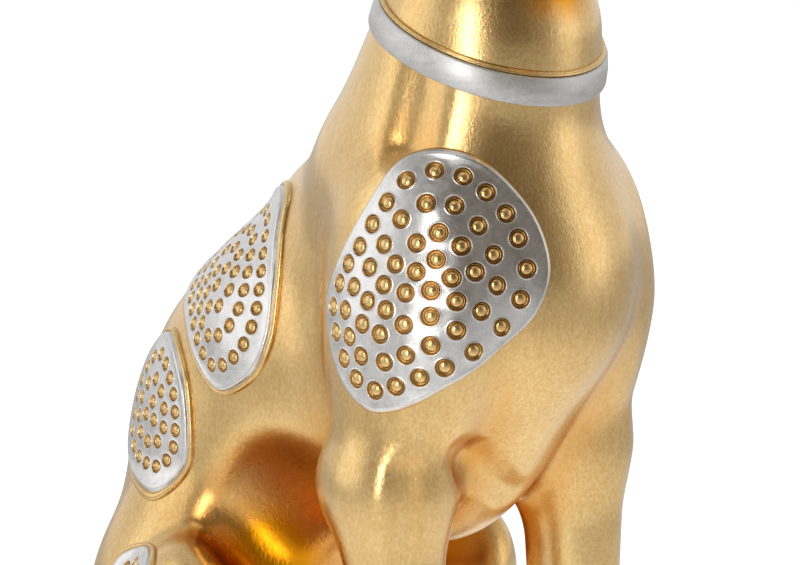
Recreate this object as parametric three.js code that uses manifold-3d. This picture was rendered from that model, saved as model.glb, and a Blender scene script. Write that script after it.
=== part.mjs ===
// Sitting dog sculpture: a gilded hollow casting with raised silver plates full of dimples and beads.
// Millimetres, +Z up. The dog faces -Y and its left side is +X. The origin is under its middle, on the floor.
// The shape is described by rounded forms placed as [left, forward, up] that melt into each other.
import * as THREE from 'three';
import { SimplifyModifier } from 'three/addons/modifiers/SimplifyModifier.js';
import { mergeVertices } from 'three/addons/utils/BufferGeometryUtils.js';
import Module from 'manifold-3d';

const wasm = await Module();
wasm.setup();

// Trunk
const chestHalfWidth = 42;
const chestHalfLength = 69;
const chestHeight = 208;
const keelDrop = 26;
const breastRise = 20;
const breastForward = 19;
const loinHeight = 162;
const rumpHalfWidth = 50;
const rumpHalfLength = 51;
const rumpBack = -124;
const wallThickness = 8;

// Neck and collar
const neckBaseRadius = 48;
const neckRadius = 36.5;
const throatRadius = 32;
const collarRise = 106.5;
const collarTilt = 20;
const bandHeight = 10;
const bandThickness = 2.4;
const pipingRadius = 0.6;
const spigotRadius = 21;
const spigotLength = 18;

// Legs and paws
const forelegSpread = 46;
const elbowHeight = 156;
const upperArmRadius = 21.5;
const forearmRadius = 20;
const wristRadius = 15;
const wristHeight = 50;
const forepawForward = 18;
const kneeSpread = 61;
const kneeForward = -90;
const kneeHeight = 97;
const leftKneeAhead = 12;
const shankRadius = 20;
const heelForward = -148;
const pawHalfWidth = 17.5;
const pawHalfLength = 22;
const pawHalfHeight = 13;

// Head, ears and tail
const headRise = 63.5;
const skullHalfWidth = 31;
const muzzleLength = 46;
const muzzleRadius = 14.5;
const eyeSpread = 19;
const earLength = 33;
const earThickness = 5;
const tailRadius = 10.5;

// Plates, their dimples and beads
const plateRise = 2;
const plateSeatDepth = 1;
const plateBevel = 0.6;
const dimpleRadius = 3.5;
const dimpleDepth = 1.5;
const grooveWidth = 1.1;
const beadDrop = 0.1;
const dimplePitch = 10.3;
const dimpleMargin = 7;
const smallDimpleRadius = 3.1;
const smallDimplePitch = 8.3;

// Soles
const padThickness = 1.7;
const pawPadRadius = 9;
const rumpPadRadius = 27;
const plugRadius = 19;
const plugThickness = 6;

// Fits and fineness of the faceted surfaces
const clearance = 0.3;
const snugness = 0.5;
const fineStep = 4.6;
const finerStep = 3;
const hollowStep = 9;
const bodyFaces = 2500;
const headFaces = 1100;
const earFaces = 200;
const tailFaces = 260;
const hollowFaces = 300;
const earPocketFaces = 300;
const tailPocketFaces = 900;
const ringSides = 32;
const cupSides = 6;
const cutReach = 800;
const soleHeight = padThickness + clearance;
const collarHeight = chestHeight + collarRise;
const skullHeight = collarHeight + headRise;

const gold = { color: 0xcda45c, roughness: 0.34, metalness: 1 };
const silver = { color: 0xc9c9cb, roughness: 0.38, metalness: 1 };
const felt = { color: 0x2b2724, roughness: 0.95, metalness: 0 };
const resin = { color: 0xd9d2c4, roughness: 0.7, metalness: 0 };

// A rounded form: an ellipsoid with half sizes, its nod, turn and lean in degrees, and how far it melts.
function ball(at, half, { nod = 0, turn = 0, lean = 0, blend = 12, both = false, carve = false } = {}) {
  const toRadians = THREE.MathUtils.degToRad;
  const axes = new THREE.Euler(toRadians(nod), toRadians(lean), -toRadians(turn), 'ZXY');
  const unswing = new THREE.Matrix4().makeRotationFromEuler(axes).invert();
  const local = new THREE.Vector3();
  const distance = (x, f, z) => {
    local.set(x - at[0], f - at[1], z - at[2]).applyMatrix4(unswing);
    const near = Math.hypot(local.x / half[0], local.y / half[1], local.z / half[2]);
    const slope = Math.hypot(local.x / half[0] ** 2, local.y / half[1] ** 2, local.z / half[2] ** 2);
    return (near * (near - 1)) / (slope + 1e-9);
  };
  return { distance, blend, both, carve };
}

// A tapering limb with round ends, from one place and radius to another; wide stretches it sideways.
function limb(from, fromRadius, to, toRadius, { wide = 1, blend = 12, both = false } = {}) {
  const start = new THREE.Vector3(from[0] / wide, from[1], from[2]);
  const along = new THREE.Vector3(to[0] / wide, to[1], to[2]).sub(start);
  const length = along.length();
  along.normalize();
  const sine = (fromRadius - toRadius) / length;
  const cosine = Math.sqrt(1 - sine * sine);
  const local = new THREE.Vector3();
  const distance = (x, f, z) => {
    local.set(x / wide, f, z).sub(start);
    const height = local.dot(along);
    const away = Math.sqrt(Math.max(local.lengthSq() - height * height, 0));
    const slant = cosine * height - sine * away;
    let reach = cosine * away + sine * height - fromRadius;
    if (slant < 0) reach = Math.hypot(away, height) - fromRadius;
    if (slant > cosine * length) reach = Math.hypot(away, height - length) - toRadius;
    return reach * Math.min(1, wide);
  };
  return { distance, blend, both, carve: false };
}

// Forms joined in order, each melting into what came before within its blend, or carved out of it.
function melt(forms) {
  return (x, f, z) => {
    let reach = 1000;
    for (const form of forms) {
      const turn = form.carve ? -1 : 1;
      const next = form.distance(form.both ? Math.abs(x) : x, f, z);
      const overlap = Math.max(form.blend - Math.abs(reach * turn - next), 0) / form.blend;
      reach = turn * (Math.min(reach * turn, next) - (overlap * overlap * form.blend) / 4);
    }
    return reach;
  };
}

// Four toes of a paw, fanned round its middle line.
function toes(side, forward, spread) {
  return [-1.5, -0.5, 0.5, 1.5].map((place) => {
    const across = place * spread;
    const tip = forward - Math.abs(across) * 0.35;
    return ball([side + across, tip, 8], [spread * 0.6, 10, 8.2], { turn: across * 1.2, blend: 2.5 });
  });
}

const trunk = [
  // Rib cage, keel, breast, back, loin, rump and seat
  ball([0, -42, chestHeight], [chestHalfWidth, chestHalfLength, 65], { nod: -38, blend: 16 }),
  ball([0, -22, chestHeight - keelDrop], [29, 42, 58], { nod: -16, blend: 30 }),
  ball([0, breastForward, chestHeight + breastRise], [43, 35, 40], { blend: 30 }),
  ball([0, -81, loinHeight + 33], [chestHalfWidth + 2, 42, 30], { nod: -47, blend: 16 }),
  ball([0, -101, loinHeight], [42, 60, 45], { nod: -50, blend: 34 }),
  ball([0, rumpBack, 106], [rumpHalfWidth, rumpHalfLength, 86], { nod: 4, blend: 30 }),
  ball([0, rumpBack - 2, 26], [42, 40, 30], { blend: 24 }),
  // Shoulder blades
  ball([43, 1, chestHeight + 11], [18, 34, 50], { nod: -8, blend: 14, both: true }),
];

const neck = [
  limb([0, -9, chestHeight + 48], neckBaseRadius, [0, 0, collarHeight], neckRadius, { blend: 26 }),
  limb([0, -31, chestHeight + 59], 36, [0, 0, collarHeight + 4], neckRadius - 3.5, { blend: 20 }),
  limb([0, 0, collarHeight - 9], neckRadius - 0.5, [0, -2, collarHeight + 30], throatRadius, { blend: 6 }),
];

const shoulder = [forelegSpread - 4, 2, elbowHeight + 58];
const upperElbow = [forelegSpread, -4, elbowHeight + 4];
const elbow = [forelegSpread + 1, -2, elbowHeight];
const wrist = [forelegSpread, 1, wristHeight];
const forelegs = [
  limb(shoulder, 22, upperElbow, upperArmRadius, { wide: 0.85, blend: 20, both: true }),
  ball([elbow[0], -18, elbowHeight - 1], [13, 17, 17], { both: true }),
  limb(elbow, forearmRadius, wrist, wristRadius, { wide: 0.94, blend: 14, both: true }),
  ball([wrist[0], wrist[1] + 1, wristHeight - 2], [wristRadius + 0.5, wristRadius + 1, 14], { both: true }),
  limb([wrist[0], 4, 42], 13.5, [forelegSpread, 12, 16], 13.5, { blend: 10, both: true }),
  ball(
    [forelegSpread + 0.5, forepawForward, pawHalfHeight - 1],
    [pawHalfWidth, pawHalfLength, pawHalfHeight],
    { blend: 8, both: true },
  ),
  ...toes(forelegSpread + 0.5, forepawForward + 15, 9).map((toe) => ({ ...toe, both: true })),
];

// The pocket in the flank above a knee; side is -1 for the right and 1 for the left.
function flankPocket(side, ahead) {
  return ball([46 * side, -66 + ahead, loinHeight - 28], [15, 22, 24], { blend: 8, carve: true });
}

// One hind leg; ahead slides its knee and paw forward.
function hindLeg(side, ahead) {
  const knee = [kneeSpread * side, kneeForward + ahead, kneeHeight];
  const heel = [60 * side, heelForward, 21];
  const paw = [(kneeSpread + 2) * side, kneeForward + 24 + ahead, pawHalfHeight - 1];
  return [
    ball([44 * side, -116 + ahead / 2, 74], [28, 44, 52], { nod: 20, blend: 24 }),
    ball(knee, [20, 27, 27], { blend: 10 }),
    limb([knee[0] + side, knee[1], kneeHeight - 11], shankRadius, heel, 12, { blend: 14 }),
    limb([heel[0], heel[1] - 2, 18], 13, [paw[0], paw[1] - 22, 13], 13, { blend: 8 }),
    ball(paw, [pawHalfWidth - 1, pawHalfLength, pawHalfHeight], { blend: 8 }),
    ...toes(paw[0], paw[1] + 15, 8.6),
    flankPocket(side, ahead),
  ];
}

const muzzleTip = 38 + muzzleLength;
const head = [
  // Skull, cheeks, muzzle, flews, jaw, nose, brows and eyes
  ball([0, 12, skullHeight], [skullHalfWidth, 37, 30], { nod: -10, blend: 24 }),
  ball([16, 24, skullHeight - 14], [14, 22, 19], { blend: 14, both: true }),
  limb([0, 38, skullHeight - 8], 20, [0, muzzleTip, skullHeight - 16], muzzleRadius, { wide: 0.86 }),
  ball([7, muzzleTip - 12, skullHeight - 24], [9, 25, 13], { nod: -6, blend: 8, both: true }),
  limb([0, 30, skullHeight - 26], 13, [0, muzzleTip - 4, skullHeight - 31], 8.5, { blend: 5 }),
  ball([0, muzzleTip + 15, skullHeight - 10], [8.5, 6, 7], { blend: 3 }),
  ball([eyeSpread - 4, 40, skullHeight + 7], [9, 10, 6], { turn: 12, blend: 7, both: true }),
  ball([eyeSpread, 44, skullHeight - 1], [6, 5.5, 5.2], { blend: 2, both: true }),
];

const hindLegs = [...hindLeg(-1, 0), ...hindLeg(1, leftKneeAhead)];
const dogShape = melt([...trunk, ...neck, ...forelegs, ...hindLegs, ...head]);
const trunkShape = melt([...trunk, ...neck, flankPocket(-1, 0), flankPocket(1, leftKneeAhead)]);

// The tail runs out of the rump along the floor and curls round beside the left heel, thinning to its tip.
const tailRoute = new THREE.CatmullRomCurve3(
  [[0, -32, 40], [6, -52, 22], [26, -65, 12.5], [52, -64, 10.5], [74, -48, 9], [82, -26, 7.5]]
    .map(([x, behind, z]) => new THREE.Vector3(x, rumpBack + behind, z)),
);
const tailLinks = 9;
const tailShape = melt(Array.from({ length: tailLinks }, (_, i) => {
  const radiusAt = (share) => tailRadius * (1.15 - 0.65 * share);
  const [from, to] = [i / tailLinks, (i + 1) / tailLinks];
  const [start, end] = [from, to].map((share) => tailRoute.getPointAt(share).toArray());
  return limb(start, radiusAt(from), end, radiusAt(to), { blend: 4 });
}));

function earShape(side) {
  const tip = [33.5 * side, 7, skullHeight - 10 - earLength / 2];
  return melt([
    ball([27.5 * side, -1, skullHeight + 9], [earThickness, 13, 10], { nod: 10, lean: -34 * side }),
    ball([33 * side, 0, skullHeight - 9], [earThickness, 17, 22], { nod: 10, lean: -8 * side, blend: 10 }),
    ball(tip, [earThickness - 0.8, 10, 18], { nod: 18, blend: 10 }),
  ]);
}

// Evenly spaced grid places that cover a span.
function places(from, to, step) {
  const count = Math.ceil((to - from) / step);
  return Array.from({ length: count + 1 }, (_, i) => from + ((to - from) * i) / count);
}

// The corners, edges and faces of a grid cell: bit 0, 1 or 2 of a corner says that it lies on the far side.
const cellEdges = [];
for (let corner = 0; corner < 8; corner += 1) {
  for (let axis = 0; axis < 3; axis += 1) {
    if (!(corner & (1 << axis))) cellEdges.push({ axis, ends: [corner, corner + (1 << axis)] });
  }
}
const cellCorners = [0, 1, 2, 3, 4, 5, 6, 7];
const cellFaces = [0, 1, 2].flatMap((axis) => [0, 1].map((side) => {
  const onFace = (corner) => ((corner >> axis) & 1) === side;
  return cellEdges.filter(({ ends }) => ends.every(onFace));
}));

// The crossed edges of one cell, sorted into the separate sheets of surface that pass through it.
function sheetsOf(inside) {
  const crossed = cellEdges.filter(({ ends }) => inside[ends[0]] !== inside[ends[1]]);
  const sheets = crossed.map((edge) => [edge]);
  const join = (one, other) => {
    const [first, second] = [one, other].map((edge) => sheets.findIndex((sheet) => sheet.includes(edge)));
    if (first !== second) sheets[first].push(...sheets.splice(second, 1, [])[0]);
  };
  for (const face of cellFaces) {
    const cut = face.filter((edge) => crossed.includes(edge));
    if (cut.length === 2) join(cut[0], cut[1]);
    if (cut.length === 4) {
      for (let corner = 0; corner < 8; corner += 1) {
        const pair = cut.filter(({ ends }) => ends.includes(corner));
        if (inside[corner] && pair.length === 2) join(pair[0], pair[1]);
      }
    }
  }
  return sheets.filter((sheet) => sheet.length > 0);
}

// The closed surface where a shape's reach equals the lift: one point for each sheet in each grid cell,
// slid onto the surface, and one quad round each grid line that the surface crosses.
function skin(shape, xs, fs, zs, lift = 0) {
  const size = [xs.length, fs.length, zs.length];
  const node = (i, j, k) => (i * size[1] + j) * size[2] + k;
  const values = new Float64Array(size[0] * size[1] * size[2]);
  for (let i = 0; i < size[0]; i += 1) {
    for (let j = 0; j < size[1]; j += 1) {
      for (let k = 0; k < size[2]; k += 1) {
        const outer = [i, j, k].some((place, axis) => place === 0 || place === size[axis] - 1);
        const value = shape(xs[i], fs[j], zs[k]) - lift;
        values[node(i, j, k)] = outer ? Math.max(value, 1) : value;
      }
    }
  }
  const points = [];
  const edgePoint = new Map();
  const edgeKey = (cell, axis, corner) => (cell * 3 + axis) * 8 + corner;
  for (let i = 0; i < size[0] - 1; i += 1) {
    for (let j = 0; j < size[1] - 1; j += 1) {
      for (let k = 0; k < size[2] - 1; k += 1) {
        const at = (corner) => [i + (corner & 1), j + ((corner >> 1) & 1), k + (corner >> 2)];
        const depths = cellCorners.map((corner) => values[node(...at(corner))]);
        for (const sheet of sheetsOf(depths.map((depth) => depth < 0))) {
          const sum = new THREE.Vector3();
          for (const { axis, ends } of sheet) {
            const [near, far] = ends.map(at);
            const share = depths[ends[0]] / (depths[ends[0]] - depths[ends[1]]);
            const start = new THREE.Vector3(xs[near[0]], fs[near[1]], zs[near[2]]);
            sum.add(start.lerp(new THREE.Vector3(xs[far[0]], fs[far[1]], zs[far[2]]), share));
            edgePoint.set(edgeKey(node(i, j, k), axis, ends[0]), points.length);
          }
          points.push(settle(shape, sum.divideScalar(sheet.length), lift));
        }
      }
    }
  }
  const faces = [];
  const rounds = [[0, 2, 6, 4], [0, 4, 5, 1], [0, 1, 3, 2]];
  for (let i = 0; i < size[0] - 1; i += 1) {
    for (let j = 0; j < size[1] - 1; j += 1) {
      for (let k = 0; k < size[2] - 1; k += 1) {
        const inside = values[node(i, j, k)] < 0;
        rounds.forEach((round, axis) => {
          const next = [i, j, k].map((place, along) => place + (along === axis ? 1 : 0));
          if (values[node(...next)] < 0 === inside) return;
          const ring = round.map((corner) => {
            const cell = node(i - (corner & 1), j - ((corner >> 1) & 1), k - (corner >> 2));
            return edgePoint.get(edgeKey(cell, axis, corner));
          });
          if (inside) ring.reverse();
          const [a, b, c, d] = ring;
          const shorter = points[a].distanceTo(points[c]) < points[b].distanceTo(points[d]);
          faces.push(...(shorter ? [[a, b, c], [a, c, d]] : [[b, c, d], [b, d, a]]));
        });
      }
    }
  }
  return { points, faces };
}

// Slides a point onto the surface at a lift, by at most a few millimetres.
function settle(shape, point, lift) {
  for (let step = 0; step < 3; step += 1) {
    const value = shape(point.x, point.y, point.z) - lift;
    const slope = slopeAt(shape, point);
    point.addScaledVector(slope, -THREE.MathUtils.clamp(value / slope.lengthSq(), -2, 2));
  }
  return point;
}

function slopeAt(shape, { x, y: f, z }) {
  const reach = 0.2;
  return new THREE.Vector3(
    shape(x + reach, f, z) - shape(x - reach, f, z),
    shape(x, f + reach, z) - shape(x, f - reach, z),
    shape(x, f, z + reach) - shape(x, f, z - reach),
  ).divideScalar(2 * reach);
}

// A solid from points and faces in [left, forward, up]; its faces are turned outward whichever way they came.
function solid({ points, faces }) {
  let volume = 0;
  for (const [a, b, c] of faces) volume += points[a].dot(points[b].clone().cross(points[c]));
  const turn = volume < 0;
  const vertProperties = new Float32Array(points.flatMap(({ x, y: f, z }) => [x, -f, z]));
  const triVerts = new Uint32Array(faces.flatMap(([a, b, c]) => (turn ? [a, b, c] : [a, c, b])));
  return new wasm.Manifold(new wasm.Mesh({ numProp: 3, vertProperties, triVerts }));
}

// The solid inside a shape's surface at a lift, thinned to about as many faces as given.
async function solidSkin(shape, steps, faceCount, lift = 0) {
  const { points, faces } = skin(shape, ...steps, lift);
  const geometry = new THREE.BufferGeometry();
  const flatPoints = points.flatMap((point) => [...point]);
  geometry.setAttribute('position', new THREE.Float32BufferAttribute(flatPoints, 3));
  geometry.setIndex(faces.flat());
  const thinned = await new SimplifyModifier().modify(geometry, points.length - faceCount / 2);
  const kept = thinned.attributes.position;
  const corners = [...thinned.index.array];
  return solid({
    points: Array.from({ length: kept.count }, (_, i) => new THREE.Vector3().fromBufferAttribute(kept, i)),
    faces: Array.from({ length: corners.length / 3 }, (_, i) => corners.slice(3 * i, 3 * i + 3)),
  });
}

// A solid from one of the plain closed geometries.
function solidOf(geometry) {
  const bare = geometry.clone();
  bare.deleteAttribute('normal');
  bare.deleteAttribute('uv');
  const merged = mergeVertices(bare, 1e-4);
  const vertProperties = new Float32Array(merged.attributes.position.array);
  const triVerts = new Uint32Array(merged.index.array);
  return new wasm.Manifold(new wasm.Mesh({ numProp: 3, vertProperties, triVerts }));
}

// An upright round post between two heights, at [left, forward].
function post([x, f], radius, from, to, sides = 32) {
  const geometry = new THREE.CylinderGeometry(radius, radius, to - from, sides);
  geometry.rotateX(Math.PI / 2).translate(x, -f, (from + to) / 2);
  return solidOf(geometry);
}

// The collar's own axes: its middle on the neck, out to the left, out to the front, and up along the neck.
const tilt = THREE.MathUtils.degToRad(collarTilt);
const collarMiddle = new THREE.Vector3(0, 0, collarHeight);
const collarLeft = new THREE.Vector3(1, 0, 0);
const collarFront = new THREE.Vector3(0, Math.cos(tilt), -Math.sin(tilt));
const collarUp = new THREE.Vector3(0, Math.sin(tilt), Math.cos(tilt));

// A ring round the neck whose section points give a height along the neck and a lift off its surface.
function neckRing(section, sides) {
  const points = [];
  const faces = [];
  for (let side = 0; side < sides; side += 1) {
    const angle = (2 * Math.PI * side) / sides;
    const outward = collarLeft.clone().multiplyScalar(Math.cos(angle));
    outward.addScaledVector(collarFront, Math.sin(angle));
    for (const [height, lift] of section) {
      const from = collarMiddle.clone().addScaledVector(collarUp, height);
      points.push(castOut(dogShape, from, outward, lift));
    }
    for (let i = 0; i < section.length; i += 1) {
      const next = (i + 1) % section.length;
      const here = side * section.length;
      const there = ((side + 1) % sides) * section.length;
      faces.push([here + i, there + i, there + next], [here + i, there + next, here + next]);
    }
  }
  return solid({ points, faces });
}

// Where a ray out of the shape's inside reaches the surface at a lift.
function castOut(shape, from, along, lift) {
  let near = 0;
  let far = 4;
  const at = (t) => shape(from.x + along.x * t, from.y + along.y * t, from.z + along.z * t) - lift;
  while (at(far) < 0) {
    near = far;
    far += 4;
  }
  for (let step = 0; step < 24; step += 1) {
    const middle = (near + far) / 2;
    if (at(middle) < 0) near = middle;
    else far = middle;
  }
  return from.clone().addScaledVector(along, (near + far) / 2);
}

// Everything above or below the collar's middle plane, where body and head part, half a clearance off it.
function beyondJoint(above) {
  const geometry = new THREE.BoxGeometry(cutReach, cutReach, cutReach);
  const shift = ((cutReach - clearance) / 2) * (above ? 1 : -1);
  geometry.rotateX(tilt).translate(
    0,
    -collarUp.y * shift,
    collarHeight + collarUp.z * shift,
  );
  return solidOf(geometry);
}

// The head's spigot or, grown, the body's socket for it.
function spigot(grow) {
  const root = 10;
  const length = spigotLength + grow + root;
  const geometry = new THREE.CylinderGeometry(spigotRadius + grow, spigotRadius + grow, length, 28);
  geometry.rotateX(Math.PI / 2 + tilt);
  const shift = root - length / 2;
  geometry.translate(0, -collarUp.y * shift, collarHeight + collarUp.z * shift);
  return solidOf(geometry);
}

// A closed smooth outline through [across, up] corners, as points about 6 mm apart.
function smoothOutline(corners) {
  const knots = corners.map(([s, t]) => new THREE.Vector3(s, t, 0));
  const curve = new THREE.CatmullRomCurve3(knots, true, 'centripetal');
  const count = Math.round(curve.getLength() / 6);
  return curve.getSpacedPoints(count).slice(0, count).map(({ x, y }) => new THREE.Vector2(x, y));
}

function middleOf(points) {
  return points.reduce((sum, point) => sum.add(point), new THREE.Vector2()).divideScalar(points.length);
}

// An outline moved outward from its middle.
function grownBy(outline, distance) {
  const middle = middleOf(outline);
  return outline.map((point) => {
    const away = point.clone().sub(middle);
    return point.clone().addScaledVector(away.normalize(), distance);
  });
}

// Triangles between flat points, each with no other point in its circle.
function triangulate(points) {
  const far = 1000;
  const frame = [[-far, -far], [far, -far], [0, far]].map(([x, y]) => new THREE.Vector2(x, y));
  const all = [...points, ...frame];
  const first = points.length;
  let triangles = [circled(all, first, first + 1, first + 2)];
  points.forEach((point, index) => {
    const broken = triangles.filter(({ centre, reach }) => centre.distanceToSquared(point) < reach);
    const sides = new Map();
    for (const { corners } of broken) {
      for (let i = 0; i < 3; i += 1) {
        const key = [corners[i], corners[(i + 1) % 3]];
        const twin = `${key[1]} ${key[0]}`;
        if (sides.has(twin)) sides.delete(twin);
        else sides.set(key.join(' '), key);
      }
    }
    triangles = triangles.filter((triangle) => !broken.includes(triangle));
    for (const [a, b] of sides.values()) triangles.push(circled(all, a, b, index));
  });
  return triangles.map(({ corners }) => corners).filter((corners) => Math.max(...corners) < first);
}

function circled(points, a, b, c) {
  const [p, q, r] = [points[a], points[b], points[c]];
  const twice = 2 * (p.x * (q.y - r.y) + q.x * (r.y - p.y) + r.x * (p.y - q.y));
  const centre = new THREE.Vector2(
    (p.lengthSq() * (q.y - r.y) + q.lengthSq() * (r.y - p.y) + r.lengthSq() * (p.y - q.y)) / twice,
    (p.lengthSq() * (r.x - q.x) + q.lengthSq() * (p.x - r.x) + r.lengthSq() * (q.x - p.x)) / twice,
  );
  return { corners: [a, b, c], centre, reach: centre.distanceToSquared(p) * (1 - 1e-12) };
}

function insideOutline(point, outline) {
  let inside = false;
  outline.forEach((a, i) => {
    const b = outline[(i + 1) % outline.length];
    const crosses = a.y > point.y !== b.y > point.y;
    if (crosses && point.x < ((b.x - a.x) * (point.y - a.y)) / (b.y - a.y) + a.x) inside = !inside;
  });
  return inside;
}

// The chart of a plate: flat [across, up] millimetres bent over the body as seen from a point inside it.
function chartOf({ heart, facing, reach }) {
  const from = new THREE.Vector3(...heart);
  const normal = new THREE.Vector3(...facing).normalize();
  const up = new THREE.Vector3(0, 0, 1).addScaledVector(normal, -normal.z).normalize();
  const across = up.clone().cross(normal);
  const onSurface = (flat, lift) => {
    const angle = flat.length() / reach;
    const along = normal.clone().multiplyScalar(Math.cos(angle));
    const sideways = across.clone().multiplyScalar(flat.x).addScaledVector(up, flat.y);
    if (angle > 0) along.addScaledVector(sideways.normalize(), Math.sin(angle));
    return castOut(dogShape, from, along, lift);
  };
  // The flat step that moves a surface point by a given amount along either of two square directions.
  const flatStep = (flat, lift) => {
    const here = onSurface(flat, lift);
    const reachOut = 0.5;
    const eastward = onSurface(flat.clone().add(new THREE.Vector2(reachOut, 0)), lift).sub(here);
    const northward = onSurface(flat.clone().add(new THREE.Vector2(0, reachOut)), lift).sub(here);
    eastward.divideScalar(reachOut);
    northward.divideScalar(reachOut);
    const east = eastward.clone().normalize();
    const slip = northward.dot(east);
    const rise = Math.sqrt(northward.lengthSq() - slip * slip);
    return (a, b) => new THREE.Vector2((a - (b * slip) / rise) / eastward.length(), b / rise);
  };
  return { onSurface, flatStep };
}

// Dimple middles in rings that follow the outline inward, a pitch apart on the surface. The last ring,
// too small for that, becomes one dimple in the middle, and one that would cut into another is left out.
function dimpleMiddles({ outline, pitch, radius }, chart) {
  const middle = middleOf(outline);
  const meanReach = outline.reduce((sum, point) => sum + point.distanceTo(middle), 0) / outline.length;
  const middles = [];
  const spots = [];
  for (let inset = dimpleMargin; inset < meanReach - pitch * 0.3; inset += pitch) {
    const share = 1 - inset / meanReach;
    const ring = outline.map((point) => point.clone().sub(middle).multiplyScalar(share).add(middle));
    const raised = ring.map((point) => chart.onSurface(point, plateRise));
    const lengths = raised.map((point, i) => point.distanceTo(raised[(i + 1) % raised.length]));
    const girth = lengths.reduce((sum, length) => sum + length, 0);
    if (girth < 2.6 * pitch) return [...middles, middle];
    const count = Math.round(girth / pitch);
    let walked = 0;
    let next = (girth / count) * (middles.length % 2 ? 0.5 : 0.1);
    ring.forEach((point, i) => {
      while (next < walked + lengths[i]) {
        const flat = point.clone().lerp(ring[(i + 1) % ring.length], (next - walked) / lengths[i]);
        const spot = chart.onSurface(flat, plateRise);
        if (spots.every((other) => other.distanceTo(spot) > 2.2 * radius)) {
          middles.push(flat);
          spots.push(spot);
        }
        next += girth / count;
      }
      walked += lengths[i];
    });
  }
  return middles;
}

// A silver plate bent over the body, with a bevelled rim and a cup with a bead in it at each dimple.
function plateSolid({ outline, inner, pitch, radius }, chart) {
  const points = [];
  const faces = [];
  const put = (point) => points.push(point) - 1;
  const rim = grownBy(outline, -plateBevel);
  const flats = [...rim];
  const cups = dimpleMiddles({ outline, pitch, radius }, chart).map((flat) => {
    const step = chart.flatStep(flat, plateRise);
    const ring = (reach) => Array.from({ length: cupSides }, (_, i) => {
      const angle = (2 * Math.PI * i) / cupSides;
      return flat.clone().add(step(reach * Math.cos(angle), reach * Math.sin(angle)));
    });
    const mouth = ring(radius);
    flats.push(...mouth);
    return { flat, mouth, floor: ring(radius - grooveWidth) };
  });
  const top = flats.map((flat) => put(chart.onSurface(flat, plateRise)));
  const holes = cups.map(({ mouth }) => mouth);
  for (const corners of triangulate(flats)) {
    const centre = middleOf(corners.map((i) => flats[i]));
    const open = holes.some((mouth) => insideOutline(centre, mouth));
    if (insideOutline(centre, rim) && !open) faces.push(corners.map((i) => top[i]));
  }
  // Each cup slopes from its mouth to the foot of its bead, which rises again to a point below the mouth.
  cups.forEach(({ flat, floor }, cup) => {
    const first = rim.length + cup * cupSides;
    const mouth = top.slice(first, first + cupSides);
    const foot = floor.map((point) => put(chart.onSurface(point, plateRise - dimpleDepth)));
    const crown = put(chart.onSurface(flat, plateRise - beadDrop));
    for (let i = 0; i < cupSides; i += 1) {
      const next = (i + 1) % cupSides;
      faces.push([mouth[i], mouth[next], foot[next]], [mouth[i], foot[next], foot[i]]);
      faces.push([foot[i], foot[next], crown]);
    }
  });
  const edge = outline.map((flat) => put(chart.onSurface(flat, plateRise - plateBevel)));
  const bottomFlats = [...outline, ...inner];
  const under = bottomFlats.map((flat) => put(chart.onSurface(flat, -plateSeatDepth)));
  band(faces, edge, top.slice(0, rim.length));
  band(faces, under.slice(0, outline.length), edge);
  for (const corners of triangulate(bottomFlats)) {
    const centre = middleOf(corners.map((i) => bottomFlats[i]));
    if (insideOutline(centre, outline)) faces.push(corners.map((i) => under[i]).reverse());
  }
  return solid({ points, faces });
}

// Faces between a lower and an upper ring of as many points.
function band(faces, lower, upper) {
  lower.forEach((low, i) => {
    const next = (i + 1) % lower.length;
    faces.push([low, lower[next], upper[next]], [low, upper[next], upper[i]]);
  });
}

// The recess that a plate sits in: its underside grown by the clearance and carried out past the surface.
function seatSolid({ outline, inner }, chart) {
  const grown = grownBy(outline, clearance * 1.3);
  const flats = [...grown, ...inner];
  const pastSurface = 6;
  const points = [];
  const faces = [];
  const level = (lift) => flats.map((flat) => points.push(chart.onSurface(flat, lift)) - 1);
  const lower = level(-plateSeatDepth - clearance);
  const upper = level(pastSurface);
  band(faces, lower.slice(0, grown.length), upper.slice(0, grown.length));
  for (const corners of triangulate(flats)) {
    if (insideOutline(middleOf(corners.map((i) => flats[i])), grown)) {
      const [a, b, c] = corners;
      faces.push([upper[a], upper[b], upper[c]], [lower[a], lower[c], lower[b]]);
    }
  }
  return solid({ points, faces });
}

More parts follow.
